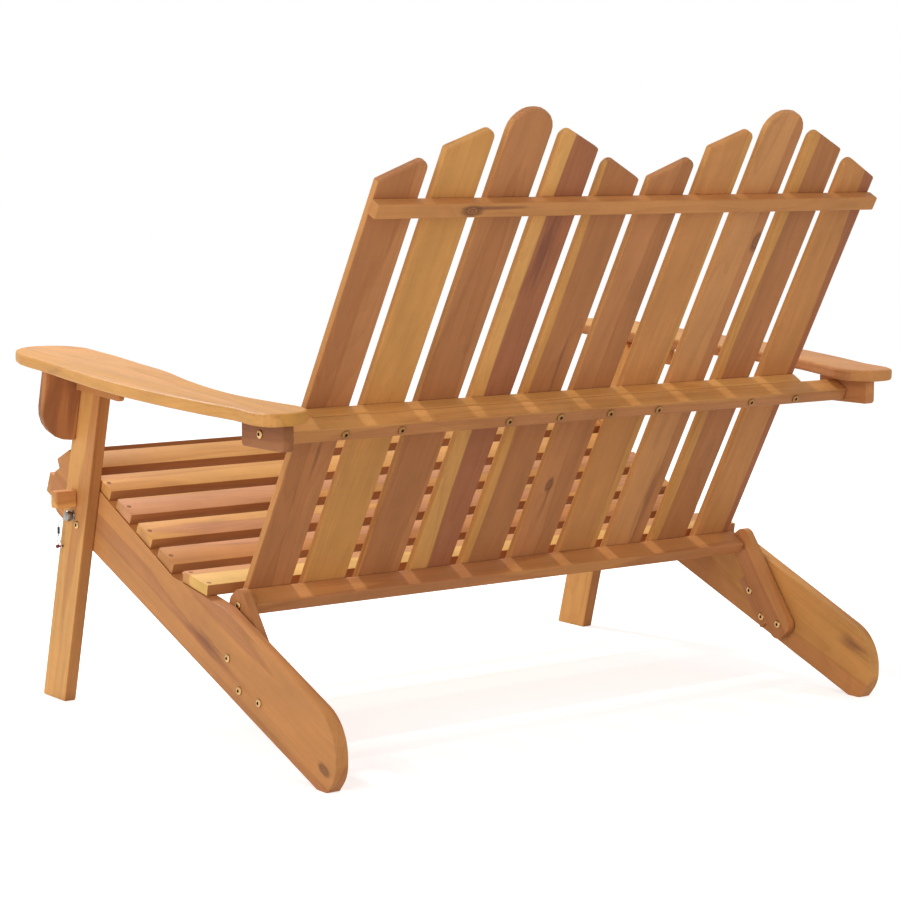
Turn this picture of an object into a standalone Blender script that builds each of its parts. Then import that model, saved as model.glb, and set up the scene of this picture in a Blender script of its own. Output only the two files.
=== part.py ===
"""Folding two-seat garden bench in oiled hardwood, held together with brass bolts.

Metres. The sitter faces -Y, +X is the sitter's left, +Z is up and the floor is Z = 0.
Side outlines are drawn as (y, z) pairs and given their thickness along X.
"""
import math

import bmesh
import bpy
from mathutils import Matrix, Vector

# Clearances and edges
GAP = 0.0003
OVERRUN = 0.002
BOARD_ROUND = 0.0022
SMALL_ROUND = 0.0012
ROUND_STEPS = 2
ARC_STEP_DEG = 15
FLAT_ANGLE_DEG = 1
ROUND_LIMIT_DEG = 35
WELD = 0.000001

# Angles in degrees: boards that slope down to the rear count as positive
SEAT_SLOPE = 25.0
FRONT_SLAT_SLOPE = -24.0
REAR_SLAT_SLOPE = 8.0
RAIL_LOWER_SLOPE = 21.4
RAIL_TAIL_SLOPE = 22.7
RAIL_FRONT_LEAN = 23.0
LEG_LEAN = 15.0
BACK_LEAN = 28.9
ARM_SLOPE = 3.4

# Side rails, which also form the rear feet
RAIL_THICK = 0.020
RAIL_OUTER_X = 0.5095
RAIL_INNER_X = RAIL_OUTER_X - RAIL_THICK
SEAT_LINE_Y = -0.0998
SEAT_LINE_Z = 0.2750
FRONT_LINE_Y = -0.3984
FRONT_LINE_Z = 0.3630
REAR_LINE_Y = -0.0178
REAR_LINE_Z = 0.2373
TAIL_LINE_Y = 0.0772
TAIL_LINE_Z = 0.2164
RAIL_FRONT_Y = -0.4099
RAIL_FRONT_Z = 0.3495
FOOT_FRONT_Y = 0.3225
FOOT_REAR_Y = 0.3468
HEEL_Y = 0.3678
HEEL_Z = 0.0251
RAIL_NOSE_ROUND = 0.036
RAIL_FRONT_TOP_ROUND = 0.006
RAIL_PEAK_ROUND = 0.020
FOOT_ROUND = 0.006
HEEL_ROUND = 0.045
RAIL_TAIL_ROUND = 0.068

# Seat slats
SEAT_SLAT_THICK = 0.0135
SEAT_SLAT_WIDTH = 0.047
SEAT_SLAT_PITCH = 0.0677
SEAT_SLAT_OVERHANG = 0.005
SEAT_SLAT_REAR_Y = -0.0375
REAR_SLAT_WIDTH = 0.070
MIDDLE_SLATS = 5
FLUSH_SLATS = 2
APRON_THICK = 0.016
APRON_HEIGHT = 0.042
APRON_TOP_Z = 0.3475

# Front legs and the stop blocks on them
LEG_THICK = 0.020
LEG_CLEARANCE = 0.0005
LEG_INNER_X = RAIL_OUTER_X + LEG_CLEARANCE
LEG_OUTER_X = LEG_INNER_X + LEG_THICK
LEG_WIDTH = 0.0697
LEG_FOOT_Y = -0.3996
LEG_TOP_CLEARANCE = 0.0012
LEG_SWING_UNDER_ARM = 50.0
LEG_FRONT_TOP_ROUND = 0.004
LEG_PIVOT_Z = 0.2843
LEG_PIVOT_BACK = 0.0118
LOCK_PIN_AHEAD = 0.0133
LOCK_PIN_ABOVE = 0.0131
STOP_BLOCK_LENGTH = 0.0352
STOP_BLOCK_DEPTH = 0.0188
STOP_BLOCK_HEIGHT = 0.0265
STOP_BLOCK_REAR_Y = -0.3092
STOP_BLOCK_BOTTOM_Z = 0.3117

# Arms with their brackets, cleats and rear blocks
ARM_THICK = 0.018
ARM_LENGTH = 0.730
ARM_WIDTH = 0.142
ARM_INNER_X = 0.4835
ARM_FRONT_Y = -0.4059
ARM_TOP_Z = 0.5292
ARM_ROUND = 0.004
ARM_CURVE_STEPS = 4
ARM_OUTLINE_SHARES = (
    (0.000, 0.380), (0.035, 0.060), (0.132, 0.000), (0.328, 0.058), (0.438, 0.095),
    (0.564, 0.215), (0.690, 0.285), (0.784, 0.272), (0.880, 0.170), (0.945, 0.110),
    (0.985, 0.230), (1.000, 0.476), (0.985, 0.700), (0.896, 0.760), (0.800, 0.862),
    (0.618, 0.975), (0.504, 1.000), (0.366, 0.968), (0.222, 0.914), (0.053, 0.818),
    (0.012, 0.640),
)
BRACKET_LEAN = 15.0
BRACKET_THICK = 0.016
BRACKET_WIDTH = 0.0622
BRACKET_BOTTOM_Z = 0.4149
BRACKET_REAR_Y = -0.3098
BRACKET_ROUND = 0.054
CLEAT_THICK = 0.0095
CLEAT_HEIGHT = 0.034
CLEAT_REAR_Y = -0.1549
CLEAT_ROUND = 0.006
BLOCK_THICK = 0.018
BLOCK_OFFSET = 0.002
BLOCK_FRONT_Y = 0.2028
BLOCK_REAR_Y = 0.3074
BLOCK_BOTTOM_Z = 0.4565
BLOCK_ROUND = 0.006
ARM_HINGE_Z = 0.5027

# Back: distances run behind the rear faces of the slats and along them
BACK_LINE_Y = 0.2204
BACK_LINE_Z = 0.5029
BACK_SLAT_THICK = 0.012
BACK_SLAT_WIDTH = 0.073
BACK_SLAT_PITCH = 0.0936
OUTER_SLAT_LEAN = 0.63
SLATS_A_SEAT = 5
CROWN_SLAT = 2
SLAT_FOOT_ALONG = -0.3274
CROWN_ALONG = 0.4595
CROWN_ROUND = 0.0335
CROWN_DROP_HEIGHT = 0.1071
CROWN_DROP_SHARES = ((0.233, 0.551), (0.650, 1.000))
SLAT_NEAR_ROUND = 0.012
SLAT_FAR_ROUND = 0.004
TOP_LATH_DEPTH = 0.0189
TOP_LATH_HEIGHT = 0.0215
TOP_LATH_ALONG = 0.3066
MID_BATTEN_DEPTH = 0.0214
MID_BATTEN_HEIGHT = 0.020
MID_RAIL_DEPTH = 0.032
MID_RAIL_HEIGHT = 0.020
BOTTOM_RAIL_DEPTH = 0.0364
BOTTOM_RAIL_HEIGHT = 0.019
BACK_PIVOT_BEHIND = 0.0235
BACK_PIVOT_ALONG = -0.3177
ARM_PIVOT_BEHIND = 0.0396
ARM_PIVOT_ALONG = -0.0085

# Braces with their stop battens
BRACE_THICK = 0.020
BRACE_WIDTH = 0.046
BRACE_END = 0.021
BRACE_ROUND = 0.016
BRACE_SPACER = 0.0027
BRACE_PIVOT_Y = 0.1766
BRACE_PIVOT_Z = 0.0923
STOP_BATTEN_THICK = 0.020
STOP_BATTEN_WIDTH = 0.027
STOP_BATTEN_ROUND = 0.003
STOP_BOLT_UP = 0.0372
STOP_BOLT_PITCH = 0.0515
STOP_BATTEN_END = 0.019

# Fasteners
BOLT_HEAD_R = 0.0064
BOLT_HEAD_HEIGHT = 0.0022
BOLT_SHANK_R = 0.0030
SOCKET_R = 0.0023
SOCKET_DEPTH = 0.0014
BOLT_SIDES = 12
BOLT_DOME_STEPS = 2
FRAME_BOLT_DEPTH = 0.035
HINGE_BOLT_DEPTH = 0.007
COLLAR_R = 0.0100
PIN_SHANK_R = 0.0040
PIN_FLANGE_R = 0.0078
PIN_FLANGE_THICK = 0.0018
PIN_NECK_R = 0.0055
PIN_NECK_LENGTH = 0.0022
PIN_KNOB_R = 0.0082
PIN_KNOB_LENGTH = 0.0080
PIN_SIDES = 20

# Lanyards of the lock pins
CABLE_R = 0.0007
CABLE_RINGS = 2
FERRULE_R = 0.0021
FERRULE_LENGTH = 0.0105
FERRULE_X = 0.5411
FERRULE_Y = -0.3509
FERRULE_TOP_Z = 0.2774
STRAND_SPREAD = 0.00095
LANYARD_SCREW_R = 0.0014
LANYARD_SCREW_DEPTH = 0.010
LANYARD_SCREW_Y = -0.3585
LANYARD_SCREW_Z = 0.2462
BEAD_R = 0.0031
BEAD_X = 0.5395
BEAD_SIDES = 12

# Finishes: colour, roughness and metallic value
WOOD_TONES = (
    (0.56, 0.29, 0.12), (0.63, 0.34, 0.14), (0.48, 0.22, 0.09), (0.59, 0.31, 0.12), (0.52, 0.25, 0.10),
)
WOOD_ROUGHNESS = 0.5
BRASS = ((0.80, 0.58, 0.26), 0.28, 1.0)
STEEL = ((0.62, 0.62, 0.63), 0.25, 1.0)
CABLE_FINISH = ((0.72, 0.73, 0.74), 0.35, 0.0)
FERRULE_FINISH = ((0.03, 0.03, 0.03), 0.5, 0.0)
BEAD_FINISH = ((0.10, 0.015, 0.012), 0.4, 0.0)

SIDES = (("left", 1), ("right", -1))
THICKNESS_ALONG_X = Matrix(((0, 0, 1, 0), (1, 0, 0, 0), (0, 1, 0, 0), (0, 0, 0, 1)))


def clear_scene():
    for item in list(bpy.data.objects):
        bpy.data.objects.remove(item, do_unlink=True)


def new_collection(name):
    collection = bpy.data.collections.new(name)
    bpy.context.scene.collection.children.link(collection)
    return collection


clear_scene()
BENCH = new_collection("folding_garden_bench")
CUTTERS = new_collection("cutters")


# Finishes
def finish(name, colour, roughness, metallic):
    material = bpy.data.materials.new(name)
    material.use_nodes = True
    shader = material.node_tree.nodes["Principled BSDF"]
    shader.inputs["Base Color"].default_value = (*colour, 1.0)
    shader.inputs["Roughness"].default_value = roughness
    shader.inputs["Metallic"].default_value = metallic
    return material


def wood(name, tone):
    return finish(name, WOOD_TONES[tone % len(WOOD_TONES)], WOOD_ROUGHNESS, 0.0)


def brass():
    return finish("brass", *BRASS)


# Geometry in the side view
class Line:
    """A straight line in the side view through (y, z), sloping down to the rear by some degrees."""

    def __init__(self, y, z, slope):
        self.point = Vector((y, z))
        self.along = Vector((math.cos(math.radians(slope)), -math.sin(math.radians(slope))))
        self.normal = Vector((-self.along.y, self.along.x))

    def at_y(self, y):
        return self.point.y + (y - self.point.x) * self.along.y / self.along.x

    def moved(self, distance):
        shifted = self.point + distance * self.normal
        line = Line(shifted.x, shifted.y, 0)
        line.along = self.along
        line.normal = self.normal
        return line

    def place(self, along, up):
        return self.point + along * self.along + up * self.normal


def leaning(y, z, lean):
    """A line that leans back from upright by some degrees; its direction points down."""
    return Line(y, z, 90 + lean)


def meet(first, second):
    across = first.along.x * second.along.y - first.along.y * second.along.x
    apart = second.point - first.point
    reach = (apart.x * second.along.y - apart.y * second.along.x) / across
    return first.point + reach * first.along


def rounded(corners):
    """The outline through (point, radius) corners, each rounded by an arc of its radius."""
    outline = []
    count = len(corners)
    for index, (corner, radius) in enumerate(corners):
        corner = Vector(corner)
        before = (Vector(corners[index - 1][0]) - corner).normalized()
        after = (Vector(corners[(index + 1) % count][0]) - corner).normalized()
        turn = math.pi - before.angle(after)
        if radius == 0 or turn < math.radians(FLAT_ANGLE_DEG):
            outline.append(corner)
            continue
        middle = corner + (before + after).normalized() * radius / math.cos(turn / 2)
        start = corner + before * radius * math.tan(turn / 2)
        sweep = math.copysign(turn, before.y * after.x - before.x * after.y)
        steps = max(2, round(math.degrees(turn) / ARC_STEP_DEG))
        for step in range(steps + 1):
            spoke = Matrix.Rotation(sweep * step / steps, 2) @ (start - middle)
            outline.append(middle + spoke)
    return outline


# Objects
def own_mesh(name, mesh, matrix, material, collection=None):
    item = bpy.data.objects.new(name, mesh)
    (collection or BENCH).objects.link(item)
    item.matrix_world = matrix
    mesh.materials.clear()
    if material:
        mesh.materials.append(material)
    return item


def evaluated_mesh(item):
    bpy.context.view_layer.update()
    mesh = bpy.data.meshes.new_from_object(item.evaluated_get(bpy.context.evaluated_depsgraph_get()))
    matrix = item.matrix_world.copy()
    bpy.data.objects.remove(item, do_unlink=True)
    return mesh, matrix


def round_edges(item, width):
    bevel = item.modifiers.new("rounded edges", "BEVEL")
    bevel.width = width
    bevel.segments = ROUND_STEPS
    bevel.limit_method = "ANGLE"
    bevel.angle_limit = math.radians(ROUND_LIMIT_DEG)


def outline_board(name, outline, thickness, matrix, material, edge=BOARD_ROUND, smooth_steps=0):
    """A board with the given outline in its local X-Y plane and its thickness along local Z."""
    curve = bpy.data.curves.new(name, "CURVE")
    curve.dimensions = "2D"
    curve.fill_mode = "BOTH"
    curve.extrude = thickness / 2
    if smooth_steps:
        spline = curve.splines.new("BEZIER")
        spline.bezier_points.add(len(outline) - 1)
        for knot, (u, v) in zip(spline.bezier_points, outline):
            knot.co = (u, v, 0)
            knot.handle_left_type = "AUTO"
            knot.handle_right_type = "AUTO"
        spline.resolution_u = smooth_steps
    else:
        spline = curve.splines.new("POLY")
        spline.points.add(len(outline) - 1)
        for knot, (u, v) in zip(spline.points, outline):
            knot.co = (u, v, 0, 1)
    spline.use_cyclic_u = True
    flat = bpy.data.objects.new(name + " outline", curve)
    BENCH.objects.link(flat)
    flat.matrix_world = matrix
    mesh, placed = evaluated_mesh(flat)
    shape = bmesh.new()
    shape.from_mesh(mesh)
    bmesh.ops.remove_doubles(shape, verts=shape.verts, dist=WELD)
    bmesh.ops.dissolve_limit(
        shape, angle_limit=math.radians(FLAT_ANGLE_DEG), verts=shape.verts, edges=shape.edges
    )
    bmesh.ops.recalc_face_normals(shape, faces=shape.faces)
    shape.to_mesh(mesh)
    shape.free()
    board = own_mesh(name, mesh, placed, material)
    round_edges(board, edge)
    return board


def side_board(name, outline, inner_x, thickness, sign, material, edge=BOARD_ROUND):
    """A board standing in the side view, from inner_x outward on the given side."""
    matrix = Matrix.Translation((sign * (inner_x + thickness / 2), 0, 0)) @ THICKNESS_ALONG_X
    return outline_board(name, outline, thickness, matrix, material, edge)


def box(name, size, matrix, material, edge=BOARD_ROUND):
    bpy.ops.mesh.primitive_cube_add(size=1)
    item = bpy.context.object
    item.name = name
    item.data.name = name
    for owner in list(item.users_collection):
        owner.objects.unlink(item)
    BENCH.objects.link(item)
    item.data.transform(Matrix.Diagonal((*size, 1)))
    item.matrix_world = matrix
    item.data.materials.append(material)
    round_edges(item, edge)
    return item


def lath(name, half_length, line, along, up, width, thickness, material):
    """A straight lath across the bench: its rear lower edge lies at (along, up) on a line."""
    middle = line.place(along - width / 2, up + thickness / 2)
    turn = -math.atan2(-line.along.y, line.along.x)
    matrix = Matrix.Translation((0, middle.x, middle.y)) @ Matrix.Rotation(turn, 4, "X")
    return box(name, (2 * half_length, width, thickness), matrix, material)


def turned(profile, sides, name="turned"):
    """The mesh of a round piece on local Z, from an (r, z) profile that runs from top to bottom."""
    mesh = bpy.data.meshes.new(name)
    edges = [(i, i + 1) for i in range(len(profile) - 1)]
    mesh.from_pydata([(r, 0, z) for r, z in profile], edges, [])
    item = bpy.data.objects.new(name, mesh)
    BENCH.objects.link(item)
    screw = item.modifiers.new("turned", "SCREW")
    screw.steps = sides
    screw.render_steps = sides
    screw.use_merge_vertices = True
    screw.merge_threshold = WELD
    return evaluated_mesh(item)[0]


def cut(board, cutter):
    cutter.hide_render = True
    cutter.display_type = "WIRE"
    hole = board.modifiers.new("hole", "BOOLEAN")
    hole.operation = "DIFFERENCE"
    hole.object = cutter


def axis_matrix(origin, direction):
    """Local +Z along the direction, so that a fastener's head faces it."""
    turn = Vector((0, 0, 1)).rotation_difference(Vector(direction)).to_matrix().to_4x4()
    return Matrix.Translation(origin) @ turn


def facing_x(x, point, sign):
    return axis_matrix((sign * x, point.x, point.y), (sign, 0, 0))


def fastener(name, mesh, matrix, material):
    mesh.name = name
    mesh.shade_smooth()
    mesh.set_sharp_from_angle(angle=math.radians(ROUND_LIMIT_DEG))
    return own_mesh(name, mesh, matrix, material)


def bore_holes(board, holes):
    """Cuts round holes, given as (cutter mesh, place), with one cutter object for the whole board."""
    shape = bmesh.new()
    for mesh, matrix in holes:
        start = len(shape.verts)
        shape.from_mesh(mesh)
        shape.verts.ensure_lookup_table()
        bmesh.ops.transform(shape, matrix=matrix, verts=shape.verts[start:])
    mesh = bpy.data.meshes.new(board.name + " holes")
    shape.to_mesh(mesh)
    shape.free()
    cut(board, own_mesh(mesh.name, mesh, Matrix(), None, CUTTERS))


# Fastener shapes
def dome(start_z, height, radius):
    """Profile of a domed head, from its crown to its rim."""
    steps = BOLT_DOME_STEPS + 1
    return [
        (radius * math.sin(math.pi / 2 * step / steps), start_z + height * math.cos(math.pi / 2 * step / steps))
        for step in range(steps + 1)
    ]


def socketed(mesh, tops):
    """Cuts a hexagonal socket into each domed head of a bolt."""
    item = own_mesh("bolt", mesh, Matrix(), None)
    hexagon = [(0, SOCKET_DEPTH), (SOCKET_R, SOCKET_DEPTH), (SOCKET_R, -SOCKET_DEPTH), (0, -SOCKET_DEPTH)]
    bore_holes(item, [(turned(hexagon, 6), Matrix.Translation((0, 0, top))) for top in tops])
    return evaluated_mesh(item)[0]


def bolt(grip, far_head=False, collar=None):
    """A domed bolt: its head bears on local Z = 0, and a far head closes the grip below.

    A collar, given as its (top, bottom) depths, is a shoulder that keeps two boards apart.
    """
    profile = [*dome(GAP, BOLT_HEAD_HEIGHT, BOLT_HEAD_R), (BOLT_SHANK_R, GAP)]
    tops = [GAP + BOLT_HEAD_HEIGHT]
    if collar:
        top, bottom = collar
        profile += [(BOLT_SHANK_R, -top), (COLLAR_R, -top), (COLLAR_R, -bottom), (BOLT_SHANK_R, -bottom)]
    if far_head:
        profile += [(BOLT_SHANK_R, -grip - GAP)]
        profile += [(r, -grip - z) for r, z in reversed(dome(GAP, BOLT_HEAD_HEIGHT, BOLT_HEAD_R))]
        tops.append(-grip - GAP - BOLT_HEAD_HEIGHT)
    else:
        profile += [(BOLT_SHANK_R, -grip), (0, -grip)]
    return socketed(turned(profile, BOLT_SIDES), tops)


def bore(radius, length, sides=BOLT_SIDES):
    """A cutter for a round hole that runs from local Z = 0 down, past both faces."""
    return blind_bore(radius, length + OVERRUN, sides)


def blind_bore(radius, length, sides=BOLT_SIDES):
    return turned([(0, OVERRUN), (radius, OVERRUN), (radius, -length), (0, -length)], sides)


# Lines and pivots of the side view
SEAT_LINE = Line(SEAT_LINE_Y, SEAT_LINE_Z, SEAT_SLOPE)
FRONT_LINE = Line(FRONT_LINE_Y, FRONT_LINE_Z, FRONT_SLAT_SLOPE)
REAR_LINE = Line(REAR_LINE_Y, REAR_LINE_Z, REAR_SLAT_SLOPE)
TAIL_LINE = Line(TAIL_LINE_Y, TAIL_LINE_Z, RAIL_TAIL_SLOPE)
LOWER_LINE = Line(FOOT_FRONT_Y, 0, RAIL_LOWER_SLOPE)
RAIL_FRONT_LINE = leaning(RAIL_FRONT_Y, RAIL_FRONT_Z, RAIL_FRONT_LEAN)
HEEL_LINE = leaning(HEEL_Y, HEEL_Z, 0)
FLOOR = Line(0, 0, 0)

LEG_LINE = leaning(LEG_FOOT_Y, 0, LEG_LEAN)
LEG_FRONT = LEG_LINE.moved(-LEG_WIDTH / 2)
LEG_REAR = LEG_LINE.moved(LEG_WIDTH / 2)
LEG_PIVOT = meet(LEG_LINE.moved(LEG_PIVOT_BACK), Line(0, LEG_PIVOT_Z, 0))
LOCK_PIN = LEG_PIVOT + Vector((-LOCK_PIN_AHEAD, LOCK_PIN_ABOVE))

ARM_TOP = Line(0, ARM_TOP_Z, ARM_SLOPE)
ARM_UNDER = ARM_TOP.moved(-ARM_THICK - GAP)
ARM_HINGE = meet(LEG_LINE, Line(0, ARM_HINGE_Z, 0))
BRACKET_REAR = leaning(BRACKET_REAR_Y, BRACKET_BOTTOM_Z, BRACKET_LEAN)
BRACKET_FRONT = BRACKET_REAR.moved(-BRACKET_THICK)

BACK = leaning(BACK_LINE_Y, BACK_LINE_Z, BACK_LEAN)


def back_point(behind, along):
    return BACK.place(-along, behind)


BACK_PIVOT = back_point(BACK_PIVOT_BEHIND, BACK_PIVOT_ALONG)
ARM_PIVOT = back_point(ARM_PIVOT_BEHIND, ARM_PIVOT_ALONG)
BRACE_PIVOT = Vector((BRACE_PIVOT_Y, BRACE_PIVOT_Z))


# Joint axes: every moving group hangs from an empty on its axis
def joint_axis(name, x, point, parent=None):
    empty = bpy.data.objects.new(name, None)
    BENCH.objects.link(empty)
    empty.matrix_world = Matrix.Translation((x, point.x, point.y))
    bpy.context.view_layer.update()
    hang([empty], parent)
    return empty


def hang(items, parent):
    if parent is None:
        return
    for item in items:
        item.parent = parent
        item.matrix_parent_inverse = parent.matrix_world.inverted()


# Side rails and seat
def seat_slats():
    """The seat slats as (line, distance of the front lower edge along it, width)."""
    slats = [(FRONT_LINE, 0, SEAT_SLAT_WIDTH)]
    rearmost = (SEAT_SLAT_REAR_Y - SEAT_LINE_Y) / SEAT_LINE.along.x - SEAT_SLAT_WIDTH
    for index in range(MIDDLE_SLATS):
        slats.append((SEAT_LINE, rearmost - (MIDDLE_SLATS - 1 - index) * SEAT_SLAT_PITCH, SEAT_SLAT_WIDTH))
    slats.append((REAR_LINE, 0, REAR_SLAT_WIDTH))
    return slats


def apron_along():
    top = meet(RAIL_FRONT_LINE, Line(0, APRON_TOP_Z, 0))
    return (top - RAIL_FRONT_LINE.point).dot(RAIL_FRONT_LINE.along)


def rail_outline():
    return rounded([
        (meet(RAIL_FRONT_LINE, LOWER_LINE), RAIL_NOSE_ROUND),
        (meet(LOWER_LINE, FLOOR), FOOT_ROUND),
        ((FOOT_REAR_Y, 0), FOOT_ROUND),
        ((HEEL_Y, HEEL_Z), HEEL_ROUND),
        (meet(HEEL_LINE, TAIL_LINE), RAIL_TAIL_ROUND),
        (meet(TAIL_LINE, REAR_LINE), 0),
        (meet(REAR_LINE, SEAT_LINE), 0),
        (meet(SEAT_LINE, FRONT_LINE), RAIL_PEAK_ROUND),
        (meet(FRONT_LINE, RAIL_FRONT_LINE), RAIL_FRONT_TOP_ROUND),
    ])


def stop_bolt_points():
    return [STOP_LINE_START + (STOP_BOLT_UP + i * STOP_BOLT_PITCH) * BRACE_UP for i in range(2)]


def strip(first, second, end, width, corner):
    """A straight strip around two points that runs past each of them by the same end."""
    along = (second - first).normalized()
    across = Vector((-along.y, along.x)) * width / 2
    low = first - end * along
    high = second + end * along
    return rounded([(low - across, corner), (low + across, corner), (high + across, corner), (high - across, corner)])


BRACE_UP = (BACK_PIVOT - BRACE_PIVOT).normalized()
BRACE_BEHIND = Vector((BRACE_UP.y, -BRACE_UP.x))
STOP_LINE_START = BRACE_PIVOT - BRACE_BEHIND * (BRACE_WIDTH / 2 + GAP + STOP_BATTEN_WIDTH / 2)
BRACE_OUTER_X = RAIL_INNER_X - BRACE_SPACER
BRACE_INNER_X = BRACE_OUTER_X - BRACE_THICK
STOP_BATTEN_INNER_X = RAIL_INNER_X - GAP - STOP_BATTEN_THICK


def make_rail(side, sign, tone):
    name = side + "_side_rail"
    rail = side_board(name, rail_outline(), RAIL_INNER_X, RAIL_THICK, sign, wood(name, tone))
    bolt_bore = bore(BOLT_SHANK_R + GAP, RAIL_THICK)
    pin_bore = bore(PIN_SHANK_R + GAP, RAIL_THICK, PIN_SIDES)
    bore_holes(rail, [
        (bolt_bore, facing_x(RAIL_OUTER_X, LEG_PIVOT, sign)),
        (bolt_bore, facing_x(RAIL_OUTER_X, BRACE_PIVOT, sign)),
        (pin_bore, facing_x(RAIL_OUTER_X, LOCK_PIN, sign)),
    ])
    return rail


def make_stop_batten(side, sign, tone):
    name = side + "_stop_batten"
    first, second = stop_bolt_points()
    outline = strip(first, second, STOP_BATTEN_END, STOP_BATTEN_WIDTH, STOP_BATTEN_ROUND)
    return side_board(name, outline, STOP_BATTEN_INNER_X, STOP_BATTEN_THICK, sign, wood(name, tone))


def make_seat():
    items = []
    for tone, (side, sign) in enumerate(SIDES):
        items.append(make_rail(side, sign, tone))
        items.append(make_stop_batten(side, sign, tone + 2))
        leg_bolt = bolt(LEG_THICK + LEG_CLEARANCE + RAIL_THICK, far_head=True)
        leg_place = facing_x(LEG_OUTER_X, LEG_PIVOT, sign)
        items.append(fastener(side + "_leg_pivot_bolt", leg_bolt, leg_place, brass()))
        collar = (RAIL_THICK + GAP, RAIL_THICK + BRACE_SPACER - GAP)
        brace_bolt = bolt(RAIL_THICK + BRACE_SPACER + BRACE_THICK, far_head=True, collar=collar)
        brace_place = facing_x(RAIL_OUTER_X, BRACE_PIVOT, sign)
        items.append(fastener(side + "_brace_pivot_bolt", brace_bolt, brace_place, brass()))

    for index, (line, along, width) in enumerate(seat_slats()):
        name = f"seat_slat_{index + 1}"
        half = RAIL_OUTER_X if index < FLUSH_SLATS else RAIL_OUTER_X + SEAT_SLAT_OVERHANG
        items.append(lath(name, half, line, along + width, GAP, width, SEAT_SLAT_THICK, wood(name, index)))

    items.append(lath("front_apron", RAIL_OUTER_X, RAIL_FRONT_LINE, apron_along() + APRON_HEIGHT,
                      -GAP - APRON_THICK, APRON_HEIGHT, APRON_THICK, wood("front_apron", 3)))
    return items


# Front legs
def leg_outline():
    """The leg's top is an arc about the arm hinge, so that the leg can swing under the arm."""
    top = ARM_UNDER.moved(-LEG_TOP_CLEARANCE)
    reach = abs((top.point - ARM_HINGE).dot(top.normal))
    shoulder = Line(0, 0, ARM_SLOPE + LEG_SWING_UNDER_ARM)
    shoulder.point = ARM_HINGE + reach * shoulder.normal
    return rounded([
        (meet(LEG_FRONT, FLOOR), 0),
        (meet(LEG_REAR, FLOOR), 0),
        (meet(LEG_REAR, shoulder), LEG_FRONT_TOP_ROUND),
        (meet(shoulder, top), reach),
        (meet(top, LEG_FRONT), LEG_FRONT_TOP_ROUND),
    ])


def make_leg(side, sign, tone):
    name = side + "_front_leg"
    leg = side_board(name, leg_outline(), LEG_INNER_X, LEG_THICK, sign, wood(name, tone))
    leg_bore = bore(BOLT_SHANK_R + GAP, LEG_THICK)
    pin_bore = bore(PIN_SHANK_R + GAP, LEG_THICK, PIN_SIDES)
    screw_bore = blind_bore(LANYARD_SCREW_R + GAP, LANYARD_SCREW_DEPTH + GAP)
    screw_point = Vector((LANYARD_SCREW_Y, LANYARD_SCREW_Z))
    bore_holes(leg, [
        (leg_bore, facing_x(LEG_OUTER_X, LEG_PIVOT, sign)),
        (leg_bore, facing_x(LEG_OUTER_X, ARM_HINGE, sign)),
        (pin_bore, facing_x(LEG_OUTER_X, LOCK_PIN, sign)),
        (screw_bore, facing_x(LEG_OUTER_X, screw_point, sign)),
    ])

    name = side + "_stop_block"
    middle = (
        sign * (LEG_OUTER_X + GAP + STOP_BLOCK_LENGTH / 2),
        STOP_BLOCK_REAR_Y - STOP_BLOCK_DEPTH / 2,
        STOP_BLOCK_BOTTOM_Z + STOP_BLOCK_HEIGHT / 2,
    )
    size = (STOP_BLOCK_LENGTH, STOP_BLOCK_DEPTH, STOP_BLOCK_HEIGHT)
    block = box(name, size, Matrix.Translation(middle), wood(name, 1))

    hinge_bolt = bolt(LEG_THICK + GAP + HINGE_BOLT_DEPTH)
    place = axis_matrix((sign * LEG_INNER_X, *ARM_HINGE), (-sign, 0, 0))
    bolt_item = fastener(side + "_arm_hinge_bolt", hinge_bolt, place, brass())
    return [leg, block, bolt_item, *make_lanyard(side, sign)]


def make_lock_pin(side, sign):
    """A steel pull pin: knob, neck and flange outside the leg, its shank through the leg."""
    flange = GAP + PIN_FLANGE_THICK
    neck = flange + PIN_NECK_LENGTH
    crown = neck + PIN_KNOB_LENGTH
    profile = [
        (0, crown), (PIN_KNOB_R - SMALL_ROUND, crown), (PIN_KNOB_R, crown - SMALL_ROUND),
        (PIN_KNOB_R, neck + SMALL_ROUND), (PIN_KNOB_R - SMALL_ROUND, neck), (PIN_NECK_R, neck),
        (PIN_NECK_R, flange), (PIN_FLANGE_R, flange), (PIN_FLANGE_R, GAP), (PIN_SHANK_R, GAP),
        (PIN_SHANK_R, -LEG_THICK), (0, -LEG_THICK),
    ]
    place = facing_x(LEG_OUTER_X, LOCK_PIN, sign)
    return fastener(side + "_lock_pin", turned(profile, PIN_SIDES), place, finish("steel", *STEEL))


# Lanyards: each route is a hand-chosen list of (x, y, z) points for the left side
KNOB_X = LEG_OUTER_X + GAP + PIN_FLANGE_THICK + PIN_NECK_LENGTH + PIN_KNOB_LENGTH / 2
KNOB_EXIT = Vector((-0.88, -0.47)).normalized()
KNOB_RIM = LOCK_PIN + (PIN_KNOB_R + GAP) * KNOB_EXIT
KNOB_LEAD = LOCK_PIN + (PIN_KNOB_R + GAP + 2 * CABLE_R) * KNOB_EXIT
FERRULE_BOTTOM_Z = FERRULE_TOP_Z - FERRULE_LENGTH
UPPER_ROUTE = (
    (KNOB_X, *KNOB_RIM),
    (KNOB_X, *KNOB_LEAD),
    (0.5420, -0.3414, 0.2890),
    (0.5425, -0.3469, 0.2850),
    (0.5415, -0.3502, 0.2808),
    (FERRULE_X, FERRULE_Y, FERRULE_TOP_Z + GAP + 2 * CABLE_R),
    (FERRULE_X, FERRULE_Y, FERRULE_TOP_Z + GAP),
)
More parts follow.
